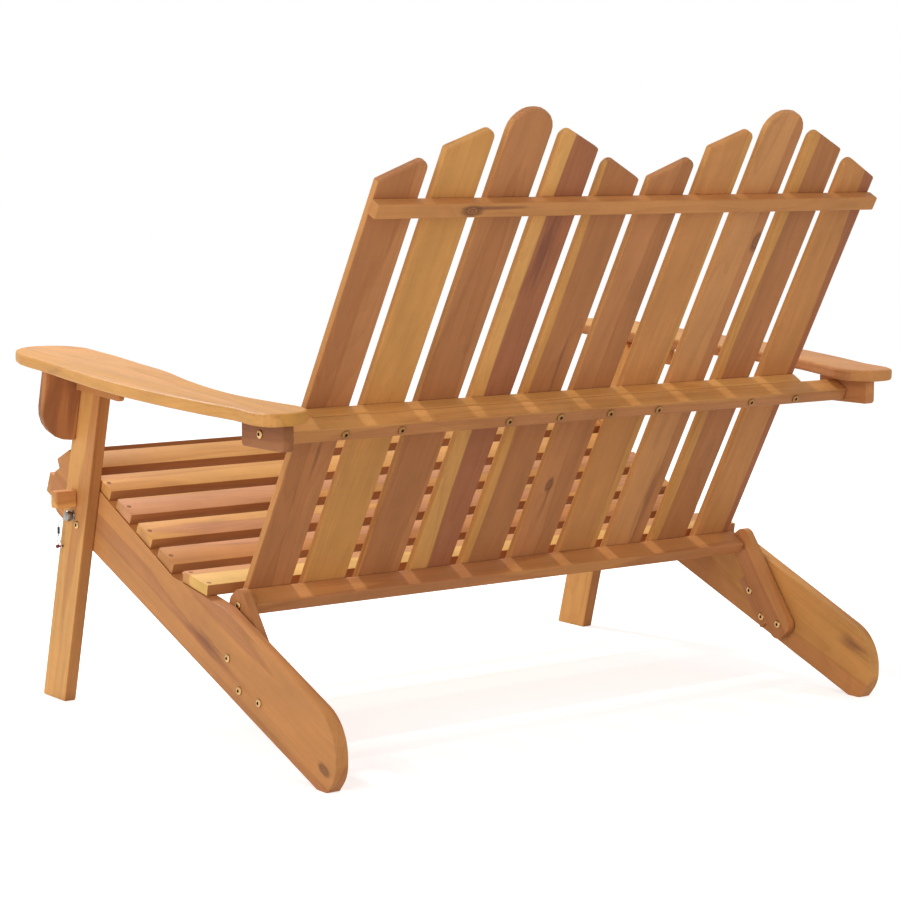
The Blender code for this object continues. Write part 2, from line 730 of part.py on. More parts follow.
LOOP_ROUTE = (
    (FERRULE_X, FERRULE_Y - STRAND_SPREAD, FERRULE_BOTTOM_Z - GAP),
    (FERRULE_X, FERRULE_Y - STRAND_SPREAD, FERRULE_BOTTOM_Z - GAP - 2 * CABLE_R),
    (0.5405, -0.3559, 0.2612),
    (0.5385, -0.3612, 0.2572),
    (0.5360, -0.3634, 0.2510),
    (0.5340, -0.3618, 0.2450),
    (0.5338, -0.3585, 0.2428),
    (0.5345, -0.3552, 0.2450),
    (0.5365, -0.3529, 0.2510),
    (0.5390, -0.3511, 0.2570),
    (0.5405, -0.3502, 0.2615),
    (FERRULE_X, FERRULE_Y + STRAND_SPREAD, FERRULE_BOTTOM_Z - GAP - 2 * CABLE_R),
    (FERRULE_X, FERRULE_Y + STRAND_SPREAD, FERRULE_BOTTOM_Z - GAP),
)


def smooth_route(points, spacing):
    """Points read off a smooth curve through the route's own points, about one spacing apart."""
    knots = [Vector(p) for p in points]
    knots = [2 * knots[0] - knots[1], *knots, 2 * knots[-1] - knots[-2]]
    route = []
    for a, b, c, d in zip(knots, knots[1:], knots[2:], knots[3:]):
        steps = max(1, round((c - b).length / spacing))
        for step in range(steps):
            t = step / steps
            route.append(0.5 * (
                2 * b + (c - a) * t + (2 * a - 5 * b + 4 * c - d) * t ** 2 + (3 * b - a - 3 * c + d) * t ** 3
            ))
    route.append(knots[-2])
    return route


def cable(name, points, sign, material):
    curve = bpy.data.curves.new(name, "CURVE")
    curve.dimensions = "3D"
    curve.bevel_depth = CABLE_R
    curve.bevel_resolution = CABLE_RINGS
    curve.use_fill_caps = True
    route = smooth_route(points, 5 * CABLE_R)
    spline = curve.splines.new("POLY")
    spline.points.add(len(route) - 1)
    for knot, (x, y, z) in zip(spline.points, route):
        knot.co = (sign * x, y, z, 1)
    item = bpy.data.objects.new(name, curve)
    BENCH.objects.link(item)
    curve.materials.append(material)
    return item


def make_lanyard(side, sign):
    clear = finish("cable", *CABLE_FINISH)
    upper = cable(side + "_lanyard", UPPER_ROUTE, sign, clear)
    loop = cable(side + "_lanyard_loop", LOOP_ROUTE, sign, clear)

    sleeve = turned([(0, 0), (FERRULE_R, 0), (FERRULE_R, -FERRULE_LENGTH), (0, -FERRULE_LENGTH)], BOLT_SIDES)
    place = Matrix.Translation((sign * FERRULE_X, FERRULE_Y, FERRULE_TOP_Z))
    ferrule = fastener(side + "_lanyard_ferrule", sleeve, place, finish("ferrule", *FERRULE_FINISH))

    out = BEAD_X - LEG_OUTER_X
    neck = math.asin(LANYARD_SCREW_R / BEAD_R)
    rings = BEAD_SIDES // 2
    profile = []
    for ring in range(rings + 1):
        turn = (math.pi - neck) * ring / rings
        profile.append((BEAD_R * math.sin(turn), out + BEAD_R * math.cos(turn)))
    profile += [(LANYARD_SCREW_R, -LANYARD_SCREW_DEPTH), (0, -LANYARD_SCREW_DEPTH)]
    bead = turned(profile, BEAD_SIDES)
    point = Vector((LANYARD_SCREW_Y, LANYARD_SCREW_Z))
    place = facing_x(LEG_OUTER_X, point, sign)
    screw = fastener(side + "_lanyard_screw", bead, place, finish("bead", *BEAD_FINISH))
    return [upper, loop, ferrule, screw]


# Arms
CLEAT_INNER_X = LEG_OUTER_X + GAP
BLOCK_INNER_X = LEG_OUTER_X + BLOCK_OFFSET


def make_arm(side, sign, tone):
    name = side + "_arm"
    outline = [
        (sign * (ARM_INNER_X + across * ARM_WIDTH), ARM_FRONT_Y + along * ARM_LENGTH)
        for along, across in ARM_OUTLINE_SHARES
    ]
    middle = ARM_TOP.place(0, -ARM_THICK / 2)
    matrix = Matrix.Translation((0, *middle)) @ Matrix.Rotation(-math.radians(ARM_SLOPE), 4, "X")
    arm = outline_board(name, outline, ARM_THICK, matrix, wood(name, tone), ARM_ROUND, ARM_CURVE_STEPS)

    hinge_bore = blind_bore(BOLT_SHANK_R + GAP, HINGE_BOLT_DEPTH + GAP)
    name = side + "_arm_cleat"
    cleat_under = ARM_UNDER.moved(-CLEAT_HEIGHT)
    cleat_front = BRACKET_REAR.moved(GAP)
    cleat_rear = leaning(CLEAT_REAR_Y, cleat_under.at_y(CLEAT_REAR_Y), 0)
    outline = rounded([
        (meet(cleat_front, cleat_under), 0),
        (meet(cleat_under, cleat_rear), CLEAT_ROUND),
        (meet(cleat_rear, ARM_UNDER), 0),
        (meet(ARM_UNDER, cleat_front), 0),
    ])
    cleat = side_board(name, outline, CLEAT_INNER_X, CLEAT_THICK, sign, wood(name, tone + 2), SMALL_ROUND)
    hinge_place = axis_matrix((sign * CLEAT_INNER_X, *ARM_HINGE), (-sign, 0, 0))
    bore_holes(cleat, [(hinge_bore, hinge_place)])

    name = side + "_arm_block"
    block_front = leaning(BLOCK_FRONT_Y, BLOCK_BOTTOM_Z, 0)
    block_rear = leaning(BLOCK_REAR_Y, BLOCK_BOTTOM_Z, 0)
    block_under = Line(BLOCK_FRONT_Y, BLOCK_BOTTOM_Z, 0)
    outline = rounded([
        (meet(block_front, block_under), BLOCK_ROUND),
        (meet(block_under, block_rear), BLOCK_ROUND),
        (meet(block_rear, ARM_UNDER), 0),
        (meet(ARM_UNDER, block_front), 0),
    ])
    block = side_board(name, outline, BLOCK_INNER_X, BLOCK_THICK, sign, wood(name, tone + 1))
    block_outer = BLOCK_INNER_X + BLOCK_THICK
    pivot_place = facing_x(block_outer, ARM_PIVOT, sign)
    bore_holes(block, [(bore(BOLT_SHANK_R + GAP, BLOCK_THICK), pivot_place)])
    bolt_item = fastener(side + "_arm_pivot_bolt", bolt(BLOCK_THICK), pivot_place, brass())
    return [arm, make_bracket(side, sign, tone), cleat, block, bolt_item]


def make_bracket(side, sign, tone):
    """The bracket under the arm: an upright board across the bench with a big round lower corner."""
    name = side + "_arm_bracket"
    inner = CLEAT_INNER_X
    outer = inner + BRACKET_WIDTH
    foot = BRACKET_REAR.place(0, -BRACKET_THICK / 2)
    top = meet(BRACKET_FRONT, ARM_TOP)
    height = (foot - top).dot(BRACKET_REAR.along)
    outline = rounded([
        ((sign * inner, 0), 0), ((sign * outer, 0), BRACKET_ROUND),
        ((sign * outer, height), 0), ((sign * inner, height), 0),
    ])
    upright = Matrix.Rotation(math.radians(90 - BRACKET_LEAN), 4, "X")
    matrix = Matrix.Translation((0, *foot)) @ upright
    bracket = outline_board(name, outline, BRACKET_THICK, matrix, wood(name, tone + 3))
    reach = 2 * ARM_LENGTH
    above = ARM_UNDER.place(0, ARM_WIDTH / 2)
    slab = box(name + " top cut", (reach, reach, ARM_WIDTH),
               Matrix.Translation((0, *above)) @ Matrix.Rotation(-math.radians(ARM_SLOPE), 4, "X"), None)
    slab.modifiers.clear()
    BENCH.objects.unlink(slab)
    CUTTERS.objects.link(slab)
    cut(bracket, slab)
    return bracket


# Braces
def make_brace(side, sign, tone):
    name = side + "_brace"
    outline = strip(BRACE_PIVOT, BACK_PIVOT, BRACE_END, BRACE_WIDTH, BRACE_ROUND)
    brace = side_board(name, outline, BRACE_INNER_X, BRACE_THICK, sign, wood(name, tone))
    brace_bore = bore(BOLT_SHANK_R + GAP, BRACE_THICK)
    bore_holes(brace, [(brace_bore, facing_x(BRACE_OUTER_X, p, sign)) for p in (BRACE_PIVOT, BACK_PIVOT)])
    return brace


# Back
OUTER_SLAT_X = (SLATS_A_SEAT - 0.5) * BACK_SLAT_PITCH


def slat_outline(centre, rank, near):
    """A back slat as (x, up the back): the crown slat is round, the others fall away from it."""
    half = BACK_SLAT_WIDTH / 2
    drift = math.tan(math.radians(OUTER_SLAT_LEAN)) * centre / OUTER_SLAT_X
    if rank == 0:
        tops = [((centre + half, CROWN_ALONG), CROWN_ROUND), ((centre - half, CROWN_ALONG), CROWN_ROUND)]
    else:
        near_share, far_share = CROWN_DROP_SHARES[rank - 1]
        near_top = ((centre + near * half, CROWN_ALONG - near_share * CROWN_DROP_HEIGHT), SLAT_NEAR_ROUND)
        far_top = ((centre - near * half, CROWN_ALONG - far_share * CROWN_DROP_HEIGHT), SLAT_FAR_ROUND)
        tops = [near_top, far_top] if near > 0 else [far_top, near_top]
    feet = [((centre - half, SLAT_FOOT_ALONG), 0), ((centre + half, SLAT_FOOT_ALONG), 0)]
    return rounded([((x - along * drift, along), corner) for (x, along), corner in tops + feet])


def slat_centres():
    return [(sign * (i + 0.5) * BACK_SLAT_PITCH, i, sign) for sign in (1, -1) for i in range(SLATS_A_SEAT)]


def back_lath(name, half_length, behind, top, depth, height, tone):
    """A lath across the back: its front lies some way behind the slats, its top edge at a height."""
    return lath(name, half_length, BACK, height - top, behind, height, depth, wood(name, tone))


def make_back():
    items = []
    slat_turn = Matrix.Rotation(math.radians(90 - BACK_LEAN), 4, "X")
    slat_middle = back_point(-GAP - BACK_SLAT_THICK / 2, 0)
    matrix = Matrix.Translation((0, *slat_middle)) @ slat_turn
    for number, (x, index, sign) in enumerate(sorted(slat_centres(), reverse=True)):
        name = f"back_slat_{number + 1}"
        outline = slat_outline(x, abs(index - CROWN_SLAT), sign if index < CROWN_SLAT else -sign)
        items.append(outline_board(name, outline, BACK_SLAT_THICK, matrix, wood(name, number * 2)))

    slats_half = SLATS_A_SEAT * BACK_SLAT_PITCH - (BACK_SLAT_PITCH - BACK_SLAT_WIDTH) / 2
    rail_front = MID_BATTEN_DEPTH + GAP
    items.append(back_lath("top_lath", slats_half, 0, TOP_LATH_ALONG + TOP_LATH_HEIGHT,
                           TOP_LATH_DEPTH, TOP_LATH_HEIGHT, 1))
    items.append(back_lath("mid_batten", slats_half, 0, 0, MID_BATTEN_DEPTH, MID_BATTEN_HEIGHT, 0))
    items.append(back_lath("mid_rail", BLOCK_INNER_X - LEG_CLEARANCE, rail_front, 0,
                           MID_RAIL_DEPTH, MID_RAIL_HEIGHT, 3))
    bottom = back_lath("bottom_rail", BRACE_INNER_X - GAP, 0, SLAT_FOOT_ALONG + BOTTOM_RAIL_HEIGHT,
                       BOTTOM_RAIL_DEPTH, BOTTOM_RAIL_HEIGHT, 1)
    end_bore = blind_bore(BOLT_SHANK_R + GAP, BRACE_THICK + FRAME_BOLT_DEPTH + GAP)
    bore_holes(bottom, [(end_bore, facing_x(BRACE_OUTER_X, BACK_PIVOT, sign)) for side, sign in SIDES])
    items.append(bottom)
    for side, sign in SIDES:
        end_bolt = bolt(BRACE_THICK + FRAME_BOLT_DEPTH)
        place = facing_x(BRACE_OUTER_X, BACK_PIVOT, sign)
        items.append(fastener(side + "_back_pivot_bolt", end_bolt, place, brass()))
    return items


def main():
    seat = joint_axis("seat_frame", 0, Vector((0, 0)))
    hang(make_seat(), seat)
    for tone, (side, sign) in enumerate(SIDES):
        leg_axis = joint_axis(side + "_leg_axis", sign * LEG_INNER_X, LEG_PIVOT, seat)
        hang(make_leg(side, sign, tone + 1), leg_axis)
        pin_axis = joint_axis(side + "_pin_axis", sign * LEG_OUTER_X, LOCK_PIN, leg_axis)
        hang([make_lock_pin(side, sign)], pin_axis)
        arm_axis = joint_axis(side + "_arm_axis", sign * LEG_OUTER_X, ARM_HINGE, leg_axis)
        hang(make_arm(side, sign, tone), arm_axis)
        brace_axis = joint_axis(side + "_brace_axis", sign * BRACE_OUTER_X, BRACE_PIVOT, seat)
        hang([make_brace(side, sign, tone + 2)], brace_axis)
        if side == "left":
            back_axis = joint_axis("back_axis", 0, BACK_PIVOT, brace_axis)
            hang(make_back(), back_axis)


main()
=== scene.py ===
"""Looks of the folding two-seat garden bench: oiled hardwood, brass bolts, steel pins and wire lanyards.

Metres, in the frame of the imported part: the sitter faces -Y and +X is the sitter's left.
Every board has its own grain. Board coordinates start in its middle and run along its grain, across its
face and through it.
"""

import math

import bmesh
import bpy
from mathutils import Matrix, Vector


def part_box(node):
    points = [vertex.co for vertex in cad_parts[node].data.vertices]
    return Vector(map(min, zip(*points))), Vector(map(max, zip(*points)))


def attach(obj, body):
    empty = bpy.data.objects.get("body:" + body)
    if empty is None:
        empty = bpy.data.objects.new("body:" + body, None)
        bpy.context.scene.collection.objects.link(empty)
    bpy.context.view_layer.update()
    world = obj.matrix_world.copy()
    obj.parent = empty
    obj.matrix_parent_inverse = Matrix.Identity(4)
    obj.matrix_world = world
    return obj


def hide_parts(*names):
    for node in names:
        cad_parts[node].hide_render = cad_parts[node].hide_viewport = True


# Camera
CAMERA_PLACE = (2.3026, 3.0721, 0.8513)
CAMERA_AZIMUTH = 143.779
CAMERA_ELEVATION = 6.8206
CAMERA_LENS = 100.05
CAMERA_SENSOR = 36.0

# Lights, each a (strength, size, place), and the world and the floor
KEY = (95.0, 0.45, (0.1, -2.3, 3.1))
SIDE_FILL = (52.0, 2.6, (3.4, 1.4, 1.5))
REAR_FILL = (22.0, 3.0, (-0.8, 3.8, 1.6))
LIGHT_TARGET = (0.0, 0.0, 0.4)
WORLD_STRENGTH = 0.47
FLOOR_HALF = 14.0
FLOOR_TONE = 0.82
FLOOR_GLOW = 0.62

# Seat and side rails in the side view: points as (y, z), slopes down to the rear in degrees
SEAT_THICK = 0.0170
SEAT_HALF = 0.5075
SEAT_SLAT_WIDTH = 0.047
SEAT_SLAT_PITCH = 0.0681
REAR_SLAT_WIDTH = 0.0704
MIDDLE_SLATS = 5
FRONT_SLAT = ((-0.4180, 0.3742), -24.0)
MIDDLE_SLAT = ((-0.3469, 0.3906), 25.15)
REAR_SLAT = ((-0.0315, 0.2492), 9.2)
RAIL_FRONT = ((-0.4219, 0.3495), 113.0)
RAIL_TAIL = ((0.0772, 0.2164), 22.7)
RAIL_HEEL = ((0.3678, 0.0251), 90.0)
RAIL_LOWER = ((0.3225, 0.0), 21.4)
FLOOR_LINE = ((0.3468, 0.0), 0.0)
RAIL_NOSE_ROUND = 0.036
RAIL_TOP_ROUND = 0.006
RAIL_PEAK_ROUND = 0.020
FOOT_ROUND = 0.006
HEEL_ROUND = 0.045
RAIL_TAIL_ROUND = 0.068
ARC_STEP = 6.0
APRON_TOP = 0.3455
APRON_HEIGHT = 0.035
APRON_THICK = 0.016
BOARD_EDGE = 0.0018

# Angles of the boards, in degrees
RAIL_SLOPE = 22.4
APRON_LEAN = 23.0
LEG_LEAN = 15.0
ARM_SLOPE = 3.4
BACK_LEAN = 28.9

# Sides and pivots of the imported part: x of a face, or (y, z) of an axis
RAIL_OUTER_X = 0.5095
RAIL_INNER_X = 0.4895
LEG_INNER_X = 0.5100
LEG_OUTER_X = 0.5300
BLOCK_OUTER_X = 0.5500
BRACE_OUTER_X = 0.4868
LEG_PIVOT = (-0.31121, 0.28430)
LOCK_PIN = (-0.32451, 0.29740)
ARM_HINGE = (-0.26490, 0.50270)
ARM_PIVOT = (0.25096, 0.47632)
BRACE_PIVOT = (0.17660, 0.09230)
BACK_PIVOT = (0.08743, 0.21341)
BACK_LINE = (0.2204, 0.5029)
RAIL_REAR_BEHIND = 0.0537
SLAT_FRONT_BEHIND = -0.0123

# Bolts
FACE_GAP = 0.0003
HEAD_R = 0.0064
HEAD_HEIGHT = 0.0025
HEAD_RIM = 0.0005
HEAD_SIDES = 40
HEAD_RINGS = 8
SHANK_R = 0.0029
SOCKET_R = 0.0026
SOCKET_DEPTH = 0.0015
COLLAR_R = 0.0100
MID_BOLT_X = (0.0468, 0.1404, 0.3276, 0.4212)
MID_BOLT_ALONG = -0.0095
LEG_BOLT_GRIP = 0.0405
BRACE_BOLT_GRIP = 0.0357
BRACE_BOLT_SPACER = (0.0203, 0.0224)
HINGE_BOLT_GRIP = 0.0273
ARM_BOLT_GRIP = 0.0180
BACK_BOLT_GRIP = 0.0550

# Stop battens and braces as the photo shows them, thinner than the part's. The battens' bolts are given by
# side, as distances up the brace from its lower pivot
BATTEN_INNER_X = 0.4842
BRACE_INNER_X = 0.4738
STOP_BATTEN_AHEAD = 0.0368
STOP_BOLTS_UP = {1: (0.0372, 0.0887), -1: (0.0322, 0.0811)}
STOP_BATTEN_THICK = 0.005
STOP_BATTEN_WIDTH = 0.027
STOP_BATTEN_END = 0.019
BRACE_WIDTH = 0.046
BRACE_END = 0.021
BRACE_ROUND = 0.016

# Screws
SCREW_R = 0.0033
SCREW_LENGTH = 0.012
SCREW_PROUD = 0.0002
RECESS_LENGTH = 0.0036
RECESS_WIDTH = 0.0008
RECESS_TURNS = (20, 110)
SEAT_SCREW_X = 0.4995
REAR_SLAT_SCREWS = (-0.026, 0.026)
APRON_SCREWS = (-0.009, 0.009)
SLAT_PITCH = 0.0936
SLAT_DRIFT = 0.026
SLAT_SCREW_ACROSS = 0.017
SLAT_SCREWS_ALONG = (-0.3180, 0.3173)
CROWN_SLATS = (3, 8)

# Lock pins and lanyards
PIN_SHANK_R = 0.0040
PIN_SHANK = 0.020
PIN_FLANGE_R = 0.0078
PIN_FLANGE = 0.0021
PIN_NECK_R = 0.0052
PIN_NECK = 0.0043
PIN_KNOB_R = 0.0082
PIN_KNOB = 0.0123
PIN_CHAMFER = 0.0012
CABLE_R = 0.0007
FERRULE_PLACE = (0.5411, -0.3509)
FERRULE_TOP = 0.2774
FERRULE_BOTTOM = 0.2669
FERRULE_R = 0.0021
FERRULE_GROOVES = (0.30, 0.62)
FERRULE_CRIMP = 0.86
LANYARD_SCREW = (-0.3585, 0.2462)
BEAD_X = 0.5395
BEAD_R = 0.0031
BEAD_SHANK_R = 0.0013
BEAD_SHANK = 0.010
LANYARD_ROUTE = (
    (0.5383, -0.33201, 0.29340),
    (0.5383, -0.33324, 0.29274),
    (0.5420, -0.3414, 0.2890),
    (0.5425, -0.3469, 0.2850),
    (0.5415, -0.3502, 0.2808),
    (0.5411, -0.3509, 0.2777),
    (0.5411, -0.3511, 0.2740),
    (0.5411, -0.35185, 0.2666),
    (0.5411, -0.35185, 0.2652),
    (0.5405, -0.3559, 0.2612),
    (0.5385, -0.3612, 0.2572),
    (0.5360, -0.3634, 0.2510),
    (0.5340, -0.3618, 0.2450),
    (0.5338, -0.3585, 0.2428),
    (0.5345, -0.3552, 0.2450),
    (0.5365, -0.3529, 0.2510),
    (0.5390, -0.3511, 0.2570),
    (0.5405, -0.3502, 0.2615),
    (0.5411, -0.34995, 0.2652),
    (0.5411, -0.34995, 0.2672),
)

# Finishes, as sRGB values
STRAW = (230, 183, 104)
HONEY = (220, 162, 94)
OCHRE = (208, 149, 84)
WHEAT = (206, 146, 72)
AMBER = (200, 138, 82)
TAN = (204, 144, 90)
ROSE = (206, 146, 102)
RUSSET = (188, 127, 80)
SIENNA = (179, 119, 74)
RUST = (170, 108, 73)
UMBER = (158, 105, 68)
BROWN = (146, 95, 60)
PLUM = (112, 66, 54)
DARK_KNOT = (72, 48, 38)
DARK_GRAIN = (182, 142, 118)
# Painted shade on the narrow faces of the seat slats and the legs
SHADED_EDGE_BROWN = (170, 112, 66)
# Painted shade in the sockets and at the rims of socket heads
PAINTED_SHADE_BRASS = (70, 48, 28)
BRASS = (214, 172, 112)
# Painted shade: a darker copy of the brass for the mid rail's bolts, which sit in shade
SHADED_BRASS = (160, 116, 68)
SCREW_BROWN = (138, 92, 58)
PIN_STEEL = (146, 140, 134)
FERRULE_BLACK = (30, 30, 33)
BEAD_RED = (104, 30, 26)
STRAND_GREY = (126, 130, 138)
STRAND_BRIGHT = (214, 218, 224)

# Wood: noise as cycles per metre along a board, across it and through it, then lengths, shares and seeds
STREAKS = (1.4, 17.0, 17.0)
BANDS = (2.6, 55.0, 55.0)
FIBRES = (8.0, 330.0, 330.0)
FINE_FIBRES = (30.0, 1300.0, 1300.0)
PORES = (95.0, 2300.0, 2300.0)
CLOUDS = (7.0, 22.0, 22.0)
CURLS = (60.0, 26.0, 26.0)
STAIN_EDGE = (16.0, 150.0, 150.0)
KNOT_EDGE = (90.0, 260.0, 260.0)
SLOW_BEND = (1.5, 10.0, 10.0)
FAST_BEND = (11.0, 70.0, 70.0)
RING_PITCH = 0.0052
PITH_DEPTH = 0.045
EDGE_TURN = (0.75, 0.95)
SEED_START = 1.7
SEED_STEP = 2.3

# Metal: the tone of its tarnish, and the painted shade on a socket head: how dark its rim is, and where its
# rim and its socket darken, as shares of the head's and the socket's radius
TARNISH = 0.78
RIM_SHADE = 0.6
RIM_START = 0.84
SOCKET_SHADE_START = 1.10
SOCKET_SHADE_FULL = 0.90

SIDES = (("left", 1), ("right", -1))
SHARP_ANGLE = 35
WELD = 0.000001


def srgb(colour):
    """A linear colour from an sRGB one of 0 to 255."""
    linear = []
    for value in colour:
        share = value / 255
        linear.append(share / 12.92 if share <= 0.04045 else ((share + 0.055) / 1.055) ** 2.4)
    return (*linear, 1.0)


# Directions in the side view
def down_the(angle):
    """A direction in the side view that slopes down to the rear by some degrees."""
    turn = math.radians(angle)
    return Vector((0.0, math.cos(turn), -math.sin(turn)))


def over_the(angle):
    """The upward normal of a board that slopes down to the rear by some degrees."""
    turn = math.radians(angle)
    return Vector((0.0, math.sin(turn), math.cos(turn)))


def back_point(x, behind, along):
    """A point of the back: behind the slats' rear faces, and up the back from arm height."""
    foot = Vector((x, *BACK_LINE))
    return foot + behind * BEHIND_THE_BACK + along * UP_THE_BACK


ACROSS = Vector((1.0, 0.0, 0.0))
UP_THE_BACK = over_the(BACK_LEAN)
BEHIND_THE_BACK = down_the(BACK_LEAN)
UP_THE_LEG = over_the(LEG_LEAN)
APRON_FACE = over_the(APRON_LEAN - 90)
UP_THE_BRACE = Vector((0.0, BACK_PIVOT[0] - BRACE_PIVOT[0], BACK_PIVOT[1] - BRACE_PIVOT[1])).normalized()
BEHIND_THE_BRACE = Vector((0.0, UP_THE_BRACE.z, -UP_THE_BRACE.y))


# Node graphs
class Graph:
    """Short ways to add nodes to a tree and link them."""

    def __init__(self, tree):
        self.tree = tree

    def add(self, kind, inputs=(), **settings):
        node = self.tree.nodes.new("ShaderNode" + kind)
        for key, value in settings.items():
            setattr(node, key, value)
        for key, value in dict(inputs).items():
            self.feed(node.inputs[key], value)
        return node

    def feed(self, socket, value):
        if isinstance(value, bpy.types.NodeSocket):
            self.tree.links.new(value, socket)
        else:
            socket.default_value = value

    def math(self, operation, first, second=0.0, third=0.0):
        return self.add("Math", {0: first, 1: second, 2: third}, operation=operation).outputs[0]

    def total(self, *values):
        """The sum of values, some of them given as (value, weight, middle)."""
        result = 0.0
        for value in values:
            if isinstance(value, tuple):
                value, weight, middle = value
                value = self.math("MULTIPLY", self.math("SUBTRACT", value, middle), weight)
            result = self.math("ADD", value, result)
        return result

    def vector(self, operation, first, second=(0.0, 0.0, 0.0)):
        node = self.add("VectorMath", {0: first, 1: second}, operation=operation)
        return node.outputs["Value" if operation in ("LENGTH", "DOT_PRODUCT") else "Vector"]

    def mix(self, share, first, second, blend="MIX"):
        node = self.add("Mix", data_type="RGBA", blend_type=blend)
        self.feed(node.inputs["Factor"], share)
        self.feed(node.inputs[6], first)
        self.feed(node.inputs[7], second)
        return node.outputs[2]

    def smooth(self, value, low, high):
        node = self.add("MapRange", {0: value, 1: low, 2: high}, interpolation_type="SMOOTHSTEP")
        return node.outputs[0]

    def noise(self, place, stretch, detail=2.0, colour=False):
        node = self.add("TexNoise", {
            "Vector": self.vector("MULTIPLY", place, stretch), "Scale": 1.0, "Detail": detail,
        })
        return node.outputs["Color" if colour else "Fac"]

    def warp(self, place, stretch, amount, detail=1.0):
        """A small wandering offset, as a vector."""
        drift = self.vector("SUBTRACT", self.noise(place, stretch, detail, True), (0.5, 0.5, 0.5))
        return self.vector("MULTIPLY", drift, amount)


WOOD_INPUTS = (
    ("Board", "NodeSocketVector", None),
    ("Seed", "NodeSocketFloat", 0.0),
    ("Sapwood", "NodeSocketColor", srgb(HONEY)),
    ("Heartwood", "NodeSocketColor", srgb(RUSSET)),
    ("Heart Bias", "NodeSocketFloat", 0.0),
    ("Heart Slope", "NodeSocketFloat", 0.0),
    ("Figure", "NodeSocketFloat", 1.0),
    ("Turned", "NodeSocketFloat", 0.0),
    # Edge and its share: painted light and shade on a board's narrow faces
    ("Edge", "NodeSocketColor", srgb(SHADED_EDGE_BROWN)),
    ("Edge Share", "NodeSocketFloat", 0.0),
    ("Knot", "NodeSocketVector", (9.0, 0.0, 0.0)),
    ("Knot Size", "NodeSocketFloat", 0.006),
    ("Stain", "NodeSocketVector", (9.0, 0.0, 0.0)),
    ("Stain Size", "NodeSocketVector", (0.05, 0.01, 1.0)),
)


